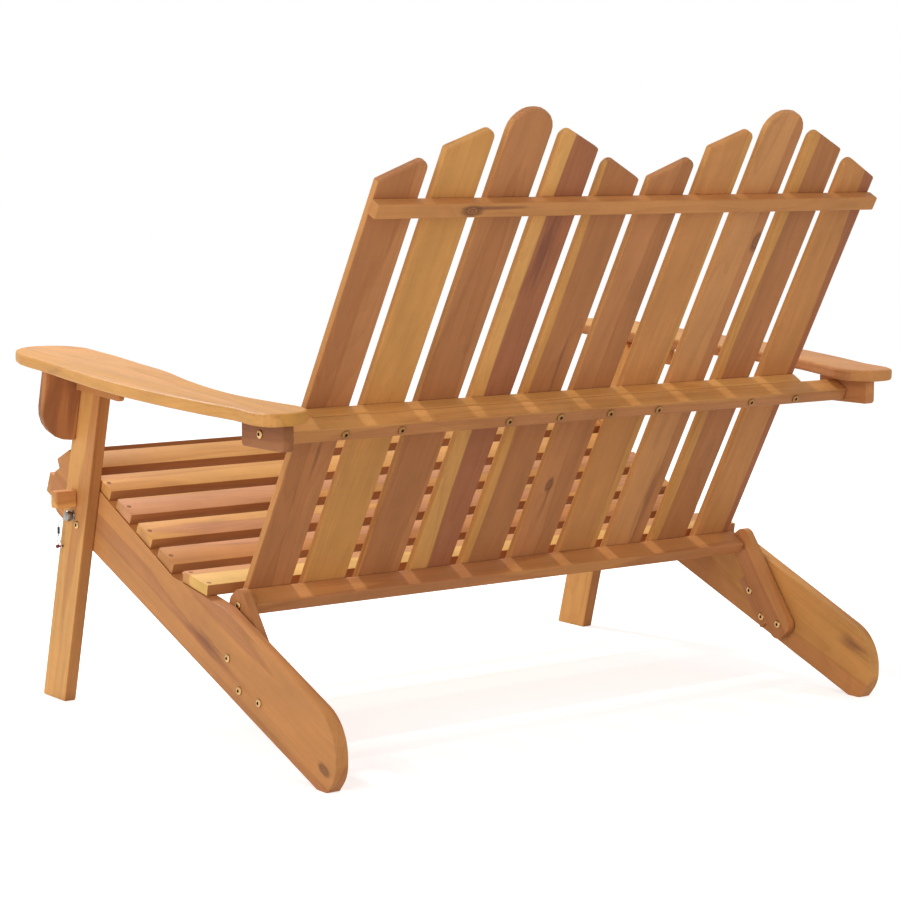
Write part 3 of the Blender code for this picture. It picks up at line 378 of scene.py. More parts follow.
def wood_group():
    """Oiled hardwood: broad bands of heartwood, growth rings, fibres, pores, a knot and a stain."""
    tree = bpy.data.node_groups.new("oiled_hardwood", "ShaderNodeTree")
    for name, kind, value in WOOD_INPUTS:
        socket = tree.interface.new_socket(name, in_out="INPUT", socket_type=kind)
        if value is not None:
            socket.default_value = value
    tree.interface.new_socket("Color", in_out="OUTPUT", socket_type="NodeSocketColor")
    tree.interface.new_socket("Roughness", in_out="OUTPUT", socket_type="NodeSocketFloat")
    tree.interface.new_socket("Height", in_out="OUTPUT", socket_type="NodeSocketFloat")
    g = Graph(tree)
    given = tree.nodes.new("NodeGroupInput").outputs
    board = given["Board"]
    seed = given["Seed"]
    place = g.vector("ADD", board, g.add("CombineXYZ", {"X": seed, "Y": seed, "Z": seed}).outputs[0])

    # The knot, which the rings flow round
    from_knot = g.vector("MULTIPLY", g.vector("SUBTRACT", board, given["Knot"]), (0.5, 1.0, 0.0))
    from_knot = g.vector("ADD", from_knot, g.warp(place, KNOT_EDGE, (0.003, 0.003, 0.0)))
    knot = g.math("DIVIDE", g.vector("LENGTH", from_knot), given["Knot Size"])
    near_knot = g.smooth(knot, 3.6, 0.9)
    in_knot = g.smooth(knot, 1.10, 0.80)

    # Growth rings about a pith below the board, bent by slow noise
    bent = g.vector("ADD", board, g.warp(place, SLOW_BEND, (0.0, 0.055, 0.055), 2.0))
    bent = g.vector("ADD", bent, g.warp(place, FAST_BEND, (0.0, 0.003, 0.003)))
    bent = g.add("SeparateXYZ", {0: bent}).outputs
    tilt = g.math("SUBTRACT", g.math("FRACT", g.math("MULTIPLY", seed, 0.731)), 0.5)
    across = g.math("ADD", bent["Y"], g.math("MULTIPLY", tilt, 0.05))
    depth = g.total(bent["Z"], PITH_DEPTH, g.math("MULTIPLY", bent["X"], g.math("MULTIPLY", tilt, 0.11)))
    radius = g.total(g.math("MULTIPLY", across, across), g.math("MULTIPLY", depth, depth))
    radius = g.math("ADD", g.math("SQRT", radius), g.math("MULTIPLY", near_knot, given["Knot Size"]))
    turns = g.math("DIVIDE", radius, RING_PITCH)
    ring = g.math("POWER", g.math("FRACT", turns), 2.6)
    ring_tone = g.add("TexWhiteNoise", {"W": g.math("ADD", g.math("FLOOR", turns), seed)},
                      noise_dimensions="1D").outputs["Value"]

    # Noise at each scale of the grain
    streaks = g.noise(place, STREAKS, 1.5)
    band = g.noise(place, BANDS, 2.0)
    fibre = g.noise(place, FIBRES, 3.0)
    fine = g.noise(place, FINE_FIBRES, 2.0)
    pore = g.smooth(g.noise(place, PORES, 0.0), 0.70, 0.78)
    cloud = g.noise(place, CLOUDS, 2.0)
    curl = g.noise(place, CURLS, 1.0)

    # Heartwood lies where the bias, the board's side and the noise add up to it
    side = g.add("SeparateXYZ", {0: board}).outputs["Y"]
    heart = g.total(given["Heart Bias"], g.math("MULTIPLY", side, given["Heart Slope"]),
                    (streaks, 5.0, 0.5), (fibre, 0.35, 0.5))
    heart = g.smooth(heart, -0.16, 0.16)
    colour = g.mix(heart, given["Sapwood"], given["Heartwood"])

    # The board's narrow faces with painted light and shade, then the dark line where heartwood starts, the
    # rings and the fibres
    narrow_face_shading = g.smooth(g.math("ABSOLUTE", given["Turned"]), *EDGE_TURN)
    colour = g.mix(g.math("MULTIPLY", narrow_face_shading, given["Edge Share"]), colour, given["Edge"])
    border = g.math("MULTIPLY", g.math("MULTIPLY", heart, g.math("SUBTRACT", 1.0, heart)), 0.8)
    darker = g.mix(1.0, colour, srgb(DARK_GRAIN), "MULTIPLY")
    colour = g.mix(border, colour, darker)
    lines = g.math("MULTIPLY", g.math("MULTIPLY", ring, g.math("ADD", 0.25, ring_tone)), given["Figure"])
    colour = g.mix(g.math("MULTIPLY", lines, 0.15), colour, darker)
    bright = g.total(1.0, (band, 0.26, 0.5), (fibre, 0.18, 0.5), (cloud, 0.40, 0.5), (fine, 0.11, 0.5),
                     (curl, 0.08, 0.5))
    grey = g.add("CombineXYZ", {"X": bright, "Y": bright, "Z": bright}).outputs[0]
    colour = g.vector("MULTIPLY", colour, grey)
    colour = g.mix(g.math("MULTIPLY", pore, 0.24), colour, srgb(UMBER))

    # The stain: a long dark streak with a torn edge
    from_stain = g.vector("DIVIDE", g.vector("SUBTRACT", board, given["Stain"]), given["Stain Size"])
    from_stain = g.vector("LENGTH", g.vector("MULTIPLY", from_stain, (1.0, 1.0, 0.0)))
    stain = g.smooth(g.total(from_stain, (g.noise(place, STAIN_EDGE), 1.6, 0.5)), 1.15, 0.10)
    depth = g.add("SeparateXYZ", {0: given["Stain Size"]}).outputs["Z"]
    colour = g.mix(g.math("MULTIPLY", stain, g.math("MULTIPLY", depth, 0.62)), colour, srgb(PLUM))

    # The knot's dark rim and its whorl
    whorl = g.math("MULTIPLY_ADD", g.math("SINE", g.math("MULTIPLY", knot, 13.0)), 0.26, 0.52)
    rim = g.math("MULTIPLY", g.smooth(knot, 1.9, 1.0), 0.55)
    colour = g.mix(rim, colour, srgb(DARK_KNOT))
    colour = g.mix(g.math("MULTIPLY", in_knot, 0.85), colour, g.mix(whorl, srgb(DARK_KNOT), srgb(RUSSET)))

    result = tree.nodes.new("NodeGroupOutput").inputs
    g.feed(result["Color"], colour)
    g.feed(result["Roughness"], g.total(0.50, (fibre, 0.18, 0.5), (pore, 0.12, 0.0), (cloud, 0.08, 0.5)))
    g.feed(result["Height"], g.total((fibre, 0.6, 0.0), (fine, 0.25, 0.0), (pore, -0.5, 0.0),
                                     (ring, -0.2, 0.0)))
    return tree


def board_axes(along, face):
    """Rows that turn the frame into board coordinates: along the grain, across it, through the face."""
    return Matrix((along, face.cross(along), face))


def wood_material(name, group, axes, middle, seed, finish):
    """An oiled board.

    A knot is (along, across, size), a stain (along, across, half length, half width, depth) and an edge
    (colour, share), which is painted light and shade on the board's narrow faces.
    """
    material, g, shader = new_material(name)
    place = g.add("TexCoord").outputs
    mapping = g.add("Mapping", {
        "Vector": place["Object"],
        "Location": -(axes @ middle), "Rotation": axes.to_euler(),
    })
    wood = g.add("Group", node_tree=group)
    values = {
        "Board": mapping.outputs[0], "Seed": seed,
        "Sapwood": srgb(finish["sap"]), "Heartwood": srgb(finish["heart"]),
        "Heart Bias": finish["bias"], "Heart Slope": finish["slope"], "Figure": finish["figure"],
        "Turned": g.vector("DOT_PRODUCT", place["Normal"], axes[1]),
    }
    # The edge colour is painted light and shade on the narrow faces
    if finish["edge"]:
        colour, share = finish["edge"]
        values.update({"Edge": srgb(colour), "Edge Share": share})
    if finish["knot"]:
        along, across, size = finish["knot"]
        values.update({"Knot": (along, across, 0.0), "Knot Size": size})
    if finish["stain"]:
        along, across, *size = finish["stain"]
        values.update({"Stain": (along, across, 0.0), "Stain Size": size})
    for key, value in values.items():
        g.feed(wood.inputs[key], value)
    bump = g.add("Bump", {"Strength": 0.30, "Distance": 0.0005, "Height": wood.outputs["Height"]})
    g.feed(shader.inputs["Base Color"], wood.outputs["Color"])
    g.feed(shader.inputs["Roughness"], wood.outputs["Roughness"])
    g.feed(shader.inputs["Normal"], bump.outputs[0])
    shader.inputs["Specular IOR Level"].default_value = 0.12
    return material


def new_material(name):
    material = bpy.data.materials.new(name)
    material.use_nodes = True
    return material, Graph(material.node_tree), material.node_tree.nodes["Principled BSDF"]


def metal_material(name, colour, roughness, socket=False):
    """A bright, slightly tarnished metal; a socket head has painted shade in its socket and at its rim."""
    material, g, shader = new_material(name)
    place = g.add("TexCoord").outputs["Object"]
    patch = g.noise(place, (420.0, 420.0, 420.0))
    scratch = g.noise(place, (2600.0, 2600.0, 300.0), 1.0)
    tarnish_and_painted_shade = g.mix(g.smooth(patch, 0.42, 0.72), srgb(colour), srgb(tuple(TARNISH * c for c in colour)))
    # Painted shade: a socket head darkens in its socket and at its rim, where shade falls
    if socket:
        radius = g.vector("LENGTH", g.vector("MULTIPLY", place, (1.0, 1.0, 0.0)))
        rim = g.math("MULTIPLY", g.smooth(radius, RIM_START * HEAD_R, HEAD_R), RIM_SHADE)
        hole = g.smooth(radius, SOCKET_SHADE_START * SOCKET_R, SOCKET_SHADE_FULL * SOCKET_R)
        painted_head_shade = g.math("MAXIMUM", hole, rim)
        tarnish_and_painted_shade = g.mix(painted_head_shade, tarnish_and_painted_shade, srgb(PAINTED_SHADE_BRASS))
    bump = g.add("Bump", {"Strength": 0.15, "Distance": 0.0001, "Height": scratch})
    g.feed(shader.inputs["Base Color"], tarnish_and_painted_shade)
    g.feed(shader.inputs["Roughness"], g.total(roughness, (patch, 0.16, 0.5), (scratch, 0.08, 0.5)))
    g.feed(shader.inputs["Normal"], bump.outputs[0])
    shader.inputs["Metallic"].default_value = 1.0
    return material


def cable_material():
    """Twisted wire under a clear sleeve."""
    material, g, shader = new_material("coated_cable")
    place = g.add("TexCoord").outputs["Object"]
    twist = g.add("TexWave", {"Vector": place, "Scale": 380.0, "Distortion": 2.0}, bands_direction="DIAGONAL")
    patch = g.noise(place, (260.0, 260.0, 260.0))
    strands = g.mix(twist.outputs["Fac"], srgb(STRAND_GREY), srgb(STRAND_BRIGHT))
    bump = g.add("Bump", {"Strength": 0.4, "Distance": 0.0001, "Height": twist.outputs["Fac"]})
    g.feed(shader.inputs["Base Color"], strands)
    g.feed(shader.inputs["Roughness"], g.total(0.28, (patch, 0.2, 0.5)))
    g.feed(shader.inputs["Normal"], bump.outputs[0])
    shader.inputs["Metallic"].default_value = 0.3
    shader.inputs["Coat Weight"].default_value = 0.8
    shader.inputs["Coat Roughness"].default_value = 0.08
    return material


def lacquer_material(name, colour, roughness):
    """A lacquer with a faint orange peel."""
    material, g, shader = new_material(name)
    place = g.add("TexCoord").outputs["Object"]
    peel = g.noise(place, (1500.0, 1500.0, 1500.0), 1.0)
    patch = g.noise(place, (300.0, 300.0, 300.0))
    lighter = tuple(min(255, 1.35 * c + 8) for c in colour)
    bump = g.add("Bump", {"Strength": 0.2, "Distance": 0.0001, "Height": peel})
    g.feed(shader.inputs["Base Color"], g.mix(patch, srgb(colour), srgb(lighter)))
    g.feed(shader.inputs["Roughness"], g.total(roughness, (patch, 0.2, 0.5)))
    g.feed(shader.inputs["Normal"], bump.outputs[0])
    return material


# How the boards look
def look(sap, heart, bias=0.0, slope=0.0, figure=1.0, knot=None, stain=None, edge=None):
    """Colours of sapwood and heartwood, where the heartwood is, and the strength of the rings."""
    return {"sap": sap, "heart": heart, "bias": bias, "slope": slope, "figure": figure, "knot": knot,
            "stain": stain, "edge": edge}


def split(sap, heart, at, slope, **more):
    """A board that is heartwood on one side of a line along it."""
    return look(sap, heart, -slope * at, slope, **more)


BACK_SLATS = (
    split(RUSSET, SIENNA, 0.004, 40, stain=(-0.111, -0.008, 0.055, 0.0035, 1.0)),
    look(OCHRE, AMBER, -0.7, figure=0.7),
    look(RUSSET, SIENNA, -0.1, figure=0.8),
    split(HONEY, RUST, 0.012, -95, stain=(0.188, -0.004, 0.075, 0.022, 1.0)),
    split(OCHRE, SIENNA, 0.024, -75, stain=(0.02, -0.012, 0.10, 0.004, 0.8)),
    split(RUSSET, SIENNA, -0.012, -60, knot=(-0.2027, 0.0126, 0.0045),
          stain=(-0.240, 0.010, 0.050, 0.005, 0.8)),
    split(AMBER, OCHRE, -0.022, -80, figure=0.7),
    split(TAN, RUSSET, -0.014, -60, knot=(0.1787, -0.0290, 0.0060),
          stain=(-0.290, -0.015, 0.110, 0.010, 0.7)),
    split(OCHRE, SIENNA, 0.018, -80, figure=1.1),
    split(AMBER, RUST, -0.016, -60),
)
SEAT_SLATS = (
    look(HONEY, AMBER, 0.2),
    look(HONEY, OCHRE, 0.0),
    look(HONEY, OCHRE, -0.3, figure=0.7),
    look(OCHRE, ROSE, -0.25),
    look(HONEY, ROSE, 0.0, stain=(0.386, -0.001, 0.062, 0.017, 0.45)),
    look(AMBER, ROSE, -0.1, figure=0.8),
    split(STRAW, TAN, -0.004, -45, figure=0.6),
)
# Painted light on the back slats' sides, and painted shade on the seat slats' front and rear faces
BACK_SLAT_EDGE_LIGHT = (HONEY, 0.5)
SEAT_SLAT_EDGE_SHADE = (SHADED_EDGE_BROWN, 1.0)
CROSS_BOARDS = {
    "front_apron": look(HONEY, AMBER),
    "top_lath": look(AMBER, RUSSET, -0.4, knot=(0.3015, 0.0, 0.0060),
                     stain=(0.262, -0.004, 0.055, 0.004, 1.0)),
    "mid_batten": look(HONEY, OCHRE, figure=0.8),
    # The mid rail's top and bottom faces are painted lighter, as painted light
    "mid_rail": look(AMBER, RUSSET, 0.3, figure=0.7, edge=(HONEY, 0.75)),
    "bottom_rail": look(AMBER, RUSSET, 0.2, figure=0.7),
}
SIDE_BOARDS = {
    "_side_rail": (down_the(RAIL_SLOPE), ACROSS),
    "_front_leg": (UP_THE_LEG, ACROSS),
    "_stop_block": (ACROSS, UP_THE_LEG),
    "_stop_batten": (UP_THE_BRACE, ACROSS),
    "_arm": (down_the(ARM_SLOPE), over_the(ARM_SLOPE)),
    "_arm_bracket": (UP_THE_LEG, down_the(LEG_LEAN)),
    "_arm_cleat": (down_the(ARM_SLOPE), ACROSS),
    "_arm_block": (down_the(0), ACROSS),
    "_brace": (UP_THE_BRACE, ACROSS),
}
SIDE_LOOKS = {
    "left_side_rail": look(AMBER, RUSSET, 0.1, -6, knot=(0.400, -0.011, 0.0050),
                           stain=(0.063, -0.012, 0.080, 0.013, 1.0)),
    "right_side_rail": look(OCHRE, AMBER, 0.2, -6, stain=(0.370, 0.032, 0.040, 0.010, 1.0)),
    # The legs' front and rear faces are painted darker, as painted shade
    "left_front_leg": look(HONEY, AMBER, -0.1, figure=0.9, edge=(SHADED_EDGE_BROWN, 0.75)),
    "right_front_leg": look(HONEY, AMBER, -0.2, edge=(SHADED_EDGE_BROWN, 0.75)),
    "left_stop_block": look(HONEY, AMBER, -0.1),
    "right_stop_block": look(HONEY, AMBER, 0.1),
    "left_stop_batten": look(AMBER, RUSSET, 0.1),
    "right_stop_batten": look(AMBER, RUSSET, 0.1),
    # Painted light on the left arm's sides, and painted shade on the right arm's sides
    "left_arm": look(WHEAT, OCHRE, 0.0, figure=0.8, edge=(HONEY, 0.9)),
    "right_arm": look(WHEAT, AMBER, 0.0, figure=0.8, edge=(RUSSET, 0.9)),
    "left_arm_bracket": look(RUSSET, UMBER, 0.3),
    "right_arm_bracket": look(AMBER, UMBER, 0.1),
    "left_arm_cleat": look(AMBER, RUSSET),
    "right_arm_cleat": look(AMBER, RUSSET, 0.2),
    # The left arm block is darker wood, and the arm's shadow is painted into that colour as well
    "left_arm_block": look(UMBER, BROWN, 0.6),
    "right_arm_block": look(AMBER, RUSSET, 0.0),
    "left_brace": look(AMBER, RUSSET, 0.0),
    "right_brace": look(AMBER, RUSSET, -0.2),
}


def board_looks():
    """(node, grain, face, look) of every board."""
    boards = []
    for index, slat in enumerate(BACK_SLATS):
        finish = {**slat, "edge": BACK_SLAT_EDGE_LIGHT}
        boards.append((f"back_slat_{index + 1}", UP_THE_BACK, BEHIND_THE_BACK, finish))
    for (node, corner, slope, width), slat in zip(seat_slats(), SEAT_SLATS):
        boards.append((node, ACROSS, over_the(slope), {**slat, "edge": SEAT_SLAT_EDGE_SHADE}))
    for name, finish in CROSS_BOARDS.items():
        face = APRON_FACE if name == "front_apron" else BEHIND_THE_BACK
        boards.append((name, ACROSS, face, finish))
    for name, finish in SIDE_LOOKS.items():
        boards.append((name, *SIDE_BOARDS[name[name.index("_"):]], finish))
    return boards


def middle_of(node):
    low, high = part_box(node)
    return (Vector(low) + Vector(high)) / 2


def dress_boards(remade):
    """New wood on every board; remade ones are (object, middle) by node."""
    group = wood_group()
    for number, (node, along, face, finish) in enumerate(board_looks()):
        item, middle = remade.get(node) or (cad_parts[node], middle_of(node))
        axes = board_axes(along, face)
        item.data.materials.clear()
        seed = SEED_START + SEED_STEP * number
        item.data.materials.append(wood_material(node, group, axes, middle, seed, finish))


# The boards that are made anew, in the side view
def at(point):
    return Vector((0.0, *point))


def seat_slats():
    """(node, front upper corner, slope, width) of every seat slat."""
    slats = [(at(FRONT_SLAT[0]), FRONT_SLAT[1], SEAT_SLAT_WIDTH)]
    for step in range(MIDDLE_SLATS):
        point, slope = MIDDLE_SLAT
        slats.append((at(point) + step * SEAT_SLAT_PITCH * down_the(slope), slope, SEAT_SLAT_WIDTH))
    slats.append((at(REAR_SLAT[0]), REAR_SLAT[1], REAR_SLAT_WIDTH))
    return [(f"seat_slat_{index + 1}", *slat) for index, slat in enumerate(slats)]


def seat_slat_top(corner, slope, width):
    return corner + width / 2 * down_the(slope)


def under_slat(slat):
    """The line on which a slat rests, as a point and a slope."""
    point, slope = slat
    return at(point) - (SEAT_THICK + FACE_GAP) * over_the(slope), slope


def meet(first, second):
    """Where two lines in the side view, each a point and a slope, cross."""
    (p, a), (q, b) = first, second
    along, other = down_the(a), down_the(b)
    apart = Vector(q) - Vector(p)
    reach = (apart.y * other.z - apart.z * other.y) / (along.y * other.z - along.z * other.y)
    return Vector(p) + reach * along


def line(place):
    point, slope = place
    return at(point), slope


def rail_outline():
    front, lower, floor = line(RAIL_FRONT), line(RAIL_LOWER), line(FLOOR_LINE)
    heel, tail = line(RAIL_HEEL), line(RAIL_TAIL)
    nose, seat, rear = under_slat(FRONT_SLAT), under_slat(MIDDLE_SLAT), under_slat(REAR_SLAT)
    return rounded([
        (meet(front, lower), RAIL_NOSE_ROUND), (meet(lower, floor), FOOT_ROUND), (floor[0], FOOT_ROUND),
        (heel[0], HEEL_ROUND), (meet(heel, tail), RAIL_TAIL_ROUND), (meet(tail, rear), 0),
        (meet(rear, seat), 0), (meet(seat, nose), RAIL_PEAK_ROUND), (meet(nose, front), RAIL_TOP_ROUND),
    ])


def rounded(corners):
    """The outline through (point, radius) corners, each rounded by an arc of its radius."""
    outline = []
    for index, (corner, radius) in enumerate(corners):
        before = (corners[index - 1][0] - corner).normalized()
        after = (corners[(index + 1) % len(corners)][0] - corner).normalized()
        turn = math.pi - before.angle(after)
        if radius == 0 or turn < math.radians(1):
            outline.append(corner)
            continue
        middle = corner + (before + after).normalized() * radius / math.cos(turn / 2)
        start = corner + before * radius * math.tan(turn / 2)
        steps = max(2, round(math.degrees(turn) / ARC_STEP))
        axis = before.cross(after)
        for step in range(steps + 1):
            outline.append(middle + Matrix.Rotation(-turn * step / steps, 3, axis) @ (start - middle))
    return outline


def prism(name, outline, low, high):
    """A board of the outline in the side view, from x = low to x = high, with eased edges."""
    shape = bmesh.new()
    rings = [[shape.verts.new((x, p.y, p.z)) for p in outline] for x in (low, high)]
    caps = [shape.faces.new(ring) for ring in rings]
    for index in range(len(outline)):
        shape.faces.new((rings[0][index - 1], rings[0][index], rings[1][index], rings[1][index - 1]))
    eased = [edge for cap in caps for edge in cap.edges]
    return eased_mesh(name, shape, eased)


def plank(name, middle, along, face, size):
    """A board of a (length, width, thickness) size with eased edges."""
    shape = bmesh.new()
    axes = board_axes(along, face).transposed().to_4x4()
    matrix = Matrix.Translation(middle) @ axes @ Matrix.Diagonal((*size, 1.0))
    bmesh.ops.create_cube(shape, size=1.0, matrix=matrix)
    return eased_mesh(name, shape, shape.edges[:])


def eased_mesh(name, shape, edges):
    bmesh.ops.bevel(shape, geom=edges, offset=BOARD_EDGE, segments=2, profile=0.5, affect="EDGES")
    bmesh.ops.recalc_face_normals(shape, faces=shape.faces)
    mesh = bpy.data.meshes.new(name)
    shape.to_mesh(mesh)
    shape.free()
    return smooth_shaded(mesh)


def remake_boards():
    """The boards that the photo shows in another form than the part's, as (object, middle) by node."""
    remade = {}

    def remake(node, mesh, middle):
        body = node if node.endswith("_brace") else "seat_frame"
        remade[node] = place_piece(node + "_board", mesh, Matrix.Identity(4), body, [node]), middle

    for node, corner, slope, width in seat_slats():
        middle = seat_slat_top(corner, slope, width) - SEAT_THICK / 2 * over_the(slope)
        size = (2 * SEAT_HALF, width, SEAT_THICK)
        remake(node, plank(node + "_board", middle, ACROSS, over_the(slope), size), middle)
    middle = apron_middle()
    size = (2 * RAIL_OUTER_X, APRON_HEIGHT, APRON_THICK)
    remake("front_apron", plank("front_apron_board", middle, ACROSS, APRON_FACE, size), middle)
    foot, head = stop_bolt_points(1)
    stop_size = ((head - foot).length + 2 * STOP_BATTEN_END, STOP_BATTEN_WIDTH, STOP_BATTEN_THICK)
    outline = rail_outline()
    brace = strip(at(BRACE_PIVOT), at(BACK_PIVOT), BRACE_END, BRACE_WIDTH, BRACE_ROUND)
    for side, sign in SIDES:
        node = side + "_stop_batten"
        middle = (foot + head) / 2 + sign * (BATTEN_INNER_X + STOP_BATTEN_THICK / 2) * ACROSS
        remake(node, plank(node + "_board", middle, UP_THE_BRACE, ACROSS, stop_size), middle)
        node = side + "_brace"
        low, high = sorted((sign * BRACE_INNER_X, sign * BRACE_OUTER_X))
        remake(node, prism(node + "_board", brace, low, high), middle_of(node))
        node = side + "_side_rail"
        low, high = sorted((sign * RAIL_INNER_X, sign * RAIL_OUTER_X))
        remake(node, prism(node + "_board", outline, low, high), middle_of(node))
    return remade


def strip(first, second, end, width, radius):
    """The outline of a straight strip round two points, past each of them by the end, with round corners."""
    along = (second - first).normalized()
    aside = width / 2 * ACROSS.cross(along)
    low, high = first - end * along, second + end * along
    corners = (low - aside, low + aside, high + aside, high - aside)
    return rounded([(corner, radius) for corner in corners])


def apron_middle():
    top = meet(line(RAIL_FRONT), (at((0.0, APRON_TOP)), 0.0))
    outward = (FACE_GAP + APRON_THICK / 2) * APRON_FACE
    return top + APRON_HEIGHT / 2 * down_the(RAIL_FRONT[1]) + outward


# Small meshes
def new_object(name, data):
    item = bpy.data.objects.new(name, data)
    bpy.context.scene.collection.objects.link(item)
    return item


def facing(place, direction):
    turn = Vector((0.0, 0.0, 1.0)).rotation_difference(Vector(direction))
    return Matrix.Translation(place) @ turn.to_matrix().to_4x4()


def lathed(name, profile, sides):
    """A mesh turned about local Z from (r, z) points that start and end on the axis."""
    shape = bmesh.new()
    points = [shape.verts.new((r, 0.0, z)) for r, z in profile]
    edges = [shape.edges.new(pair) for pair in zip(points, points[1:])]
    bmesh.ops.spin(shape, geom=points + edges, cent=(0, 0, 0), axis=(0, 0, 1), angle=math.tau,
                   steps=sides, use_merge=True)
    bmesh.ops.remove_doubles(shape, verts=shape.verts, dist=WELD)
    bmesh.ops.recalc_face_normals(shape, faces=shape.faces)
    mesh = bpy.data.meshes.new(name)
    shape.to_mesh(mesh)
    shape.free()
    return smooth_shaded(mesh)


def smooth_shaded(mesh):
    mesh.shade_smooth()
    mesh.set_sharp_from_angle(angle=math.radians(SHARP_ANGLE))
    return mesh


def bar(name, length, width, depth):
    shape = bmesh.new()
    bmesh.ops.create_cube(shape, size=1.0, matrix=Matrix.Diagonal((length, width, depth, 1.0)))
    mesh = bpy.data.meshes.new(name)
    shape.to_mesh(mesh)
    shape.free()
    return mesh


def cut_by(mesh, cutters):
    """The mesh with every cutter, a (mesh, matrix), taken out of it."""
    blank = new_object("blank", mesh)
    tools = []
    for shape, matrix in cutters:
        tool = new_object("tool", shape)
        tool.matrix_world = matrix
        hole = blank.modifiers.new("hole", "BOOLEAN")
        hole.operation = "DIFFERENCE"
        hole.object = tool
        tools.append(tool)
    bpy.context.view_layer.update()
    result = bpy.data.meshes.new_from_object(blank.evaluated_get(bpy.context.evaluated_depsgraph_get()))
    for done in (blank, *tools):
        bpy.data.objects.remove(done, do_unlink=True)
    return smooth_shaded(result)


# Bolts
def head_profile(face, way):
    """The domed head's (r, z) points from its crown to its rim; it bears on z = face."""
    points = []
    for ring in range(HEAD_RINGS + 1):
        turn = math.pi / 2 * ring / HEAD_RINGS
        rise = FACE_GAP + HEAD_RIM + (HEAD_HEIGHT - HEAD_RIM) * math.cos(turn)
        points.append((HEAD_R * math.sin(turn), face + way * rise))
    points.append((HEAD_R, face + way * (FACE_GAP + HEAD_RIM / 2)))
    points.append((HEAD_R - HEAD_RIM / 2, face + way * FACE_GAP))
    return points


def bolt_mesh(name, grip, far_head, collar):
    """A bolt with a domed socket head on z = 0; a collar is a (top, bottom) pair of depths."""
    profile = head_profile(0, 1) + [(SHANK_R, FACE_GAP)]
    crowns = [FACE_GAP + HEAD_HEIGHT]
    if collar:
        top, bottom = collar
        profile += [(SHANK_R, -top), (COLLAR_R, -top), (COLLAR_R, -bottom), (SHANK_R, -bottom)]
    if far_head:
        profile += [(SHANK_R, -grip - FACE_GAP)] + head_profile(-grip, -1)[::-1]
        crowns.append(-grip - FACE_GAP - HEAD_HEIGHT)
    else:
        profile += [(SHANK_R, -grip), (0, -grip)]
    profile[0] = (0, profile[0][1])
    socket = lathed("socket", [(0, SOCKET_DEPTH), (SOCKET_R, SOCKET_DEPTH), (SOCKET_R, -SOCKET_DEPTH),
                               (0, -SOCKET_DEPTH)], 6)
    blank = lathed(name, profile, HEAD_SIDES)
    return cut_by(blank, [(socket, Matrix.Translation((0, 0, z))) for z in crowns])


def pivot_bolts(side, sign):
    """(node, body, x of the head's face, axis, way it faces, grip, far head, collar)"""
    return (
        ("leg_pivot_bolt", "seat_frame", LEG_OUTER_X, LEG_PIVOT, sign, LEG_BOLT_GRIP, True, None),
        ("brace_pivot_bolt", "seat_frame", RAIL_OUTER_X, BRACE_PIVOT, sign, BRACE_BOLT_GRIP, True,
         BRACE_BOLT_SPACER),
        ("arm_hinge_bolt", side + "_front_leg", LEG_INNER_X, ARM_HINGE, -sign, HINGE_BOLT_GRIP, False, None),
        ("arm_pivot_bolt", side + "_arm", BLOCK_OUTER_X, ARM_PIVOT, sign, ARM_BOLT_GRIP, False, None),
        ("back_pivot_bolt", "back", BRACE_OUTER_X, BACK_PIVOT, sign, BACK_BOLT_GRIP, False, None),
    )


def stop_bolt_points(sign):
    """The two bolts of a side's stop batten, in the side view."""
    start = Vector((0.0, *BRACE_PIVOT)) - STOP_BATTEN_AHEAD * BEHIND_THE_BRACE
    return [start + up * UP_THE_BRACE for up in STOP_BOLTS_UP[sign]]


def place_piece(name, mesh, matrix, body, replaced=()):
    item = new_object(name, mesh)
    item.matrix_world = matrix
    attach(item, body)
    if replaced:
        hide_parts(*replaced)
    return item


def make_bolts(brass, dull_shaded_brass):
    meshes = {}

    def bolt(grip, far_head=True, collar=None, finish=brass):
        key = (grip, far_head, collar, finish.name)
        if key not in meshes:
            meshes[key] = bolt_mesh(f"bolt_{len(meshes) + 1}", grip, far_head, collar)
            meshes[key].materials.append(finish)
        return meshes[key]

    for side, sign in SIDES:
        for name, body, x, axis, way, grip, far_head, collar in pivot_bolts(side, sign):
            matrix = facing((sign * x, *axis), (way, 0, 0))
            node = f"{side}_{name}"
            place_piece(node + "_fine", bolt(grip, far_head, collar), matrix, body, [node])
        for number, point in enumerate(stop_bolt_points(sign)):
            matrix = facing((sign * RAIL_OUTER_X, point.y, point.z), (sign, 0, 0))
            name = f"{side}_stop_bolt_{number + 1}"
            place_piece(name, bolt(RAIL_OUTER_X - BATTEN_INNER_X), matrix, "seat_frame")
        for number, x in enumerate(MID_BOLT_X):
            matrix = facing(back_point(sign * x, RAIL_REAR_BEHIND, MID_BOLT_ALONG), BEHIND_THE_BACK)
            name = f"{side}_mid_rail_bolt_{number + 1}"
            grip = RAIL_REAR_BEHIND - SLAT_FRONT_BEHIND
            # The mid rail's bolts take a darker copy of the brass, as painted shade
            place_piece(name, bolt(grip, finish=dull_shaded_brass), matrix, "back")


# Screws
def screw_mesh(steel):
    """A flush countersunk screw with a cross recess."""
    bevel = SCREW_PROUD / 2
    profile = [(0, SCREW_PROUD), (SCREW_R - bevel, SCREW_PROUD), (SCREW_R, 0.0), (SHANK_R / 2, -SCREW_R),
               (SHANK_R / 2, -SCREW_LENGTH), (0, -SCREW_LENGTH)]
    recess = bar("recess", RECESS_LENGTH, RECESS_WIDTH, RECESS_LENGTH / 2)
    turns = (Matrix.Rotation(math.radians(angle), 4, "Z") for angle in RECESS_TURNS)
    mesh = cut_by(lathed("screw", profile, HEAD_SIDES), [(recess, turn) for turn in turns])
    mesh.materials.append(steel)
    return mesh


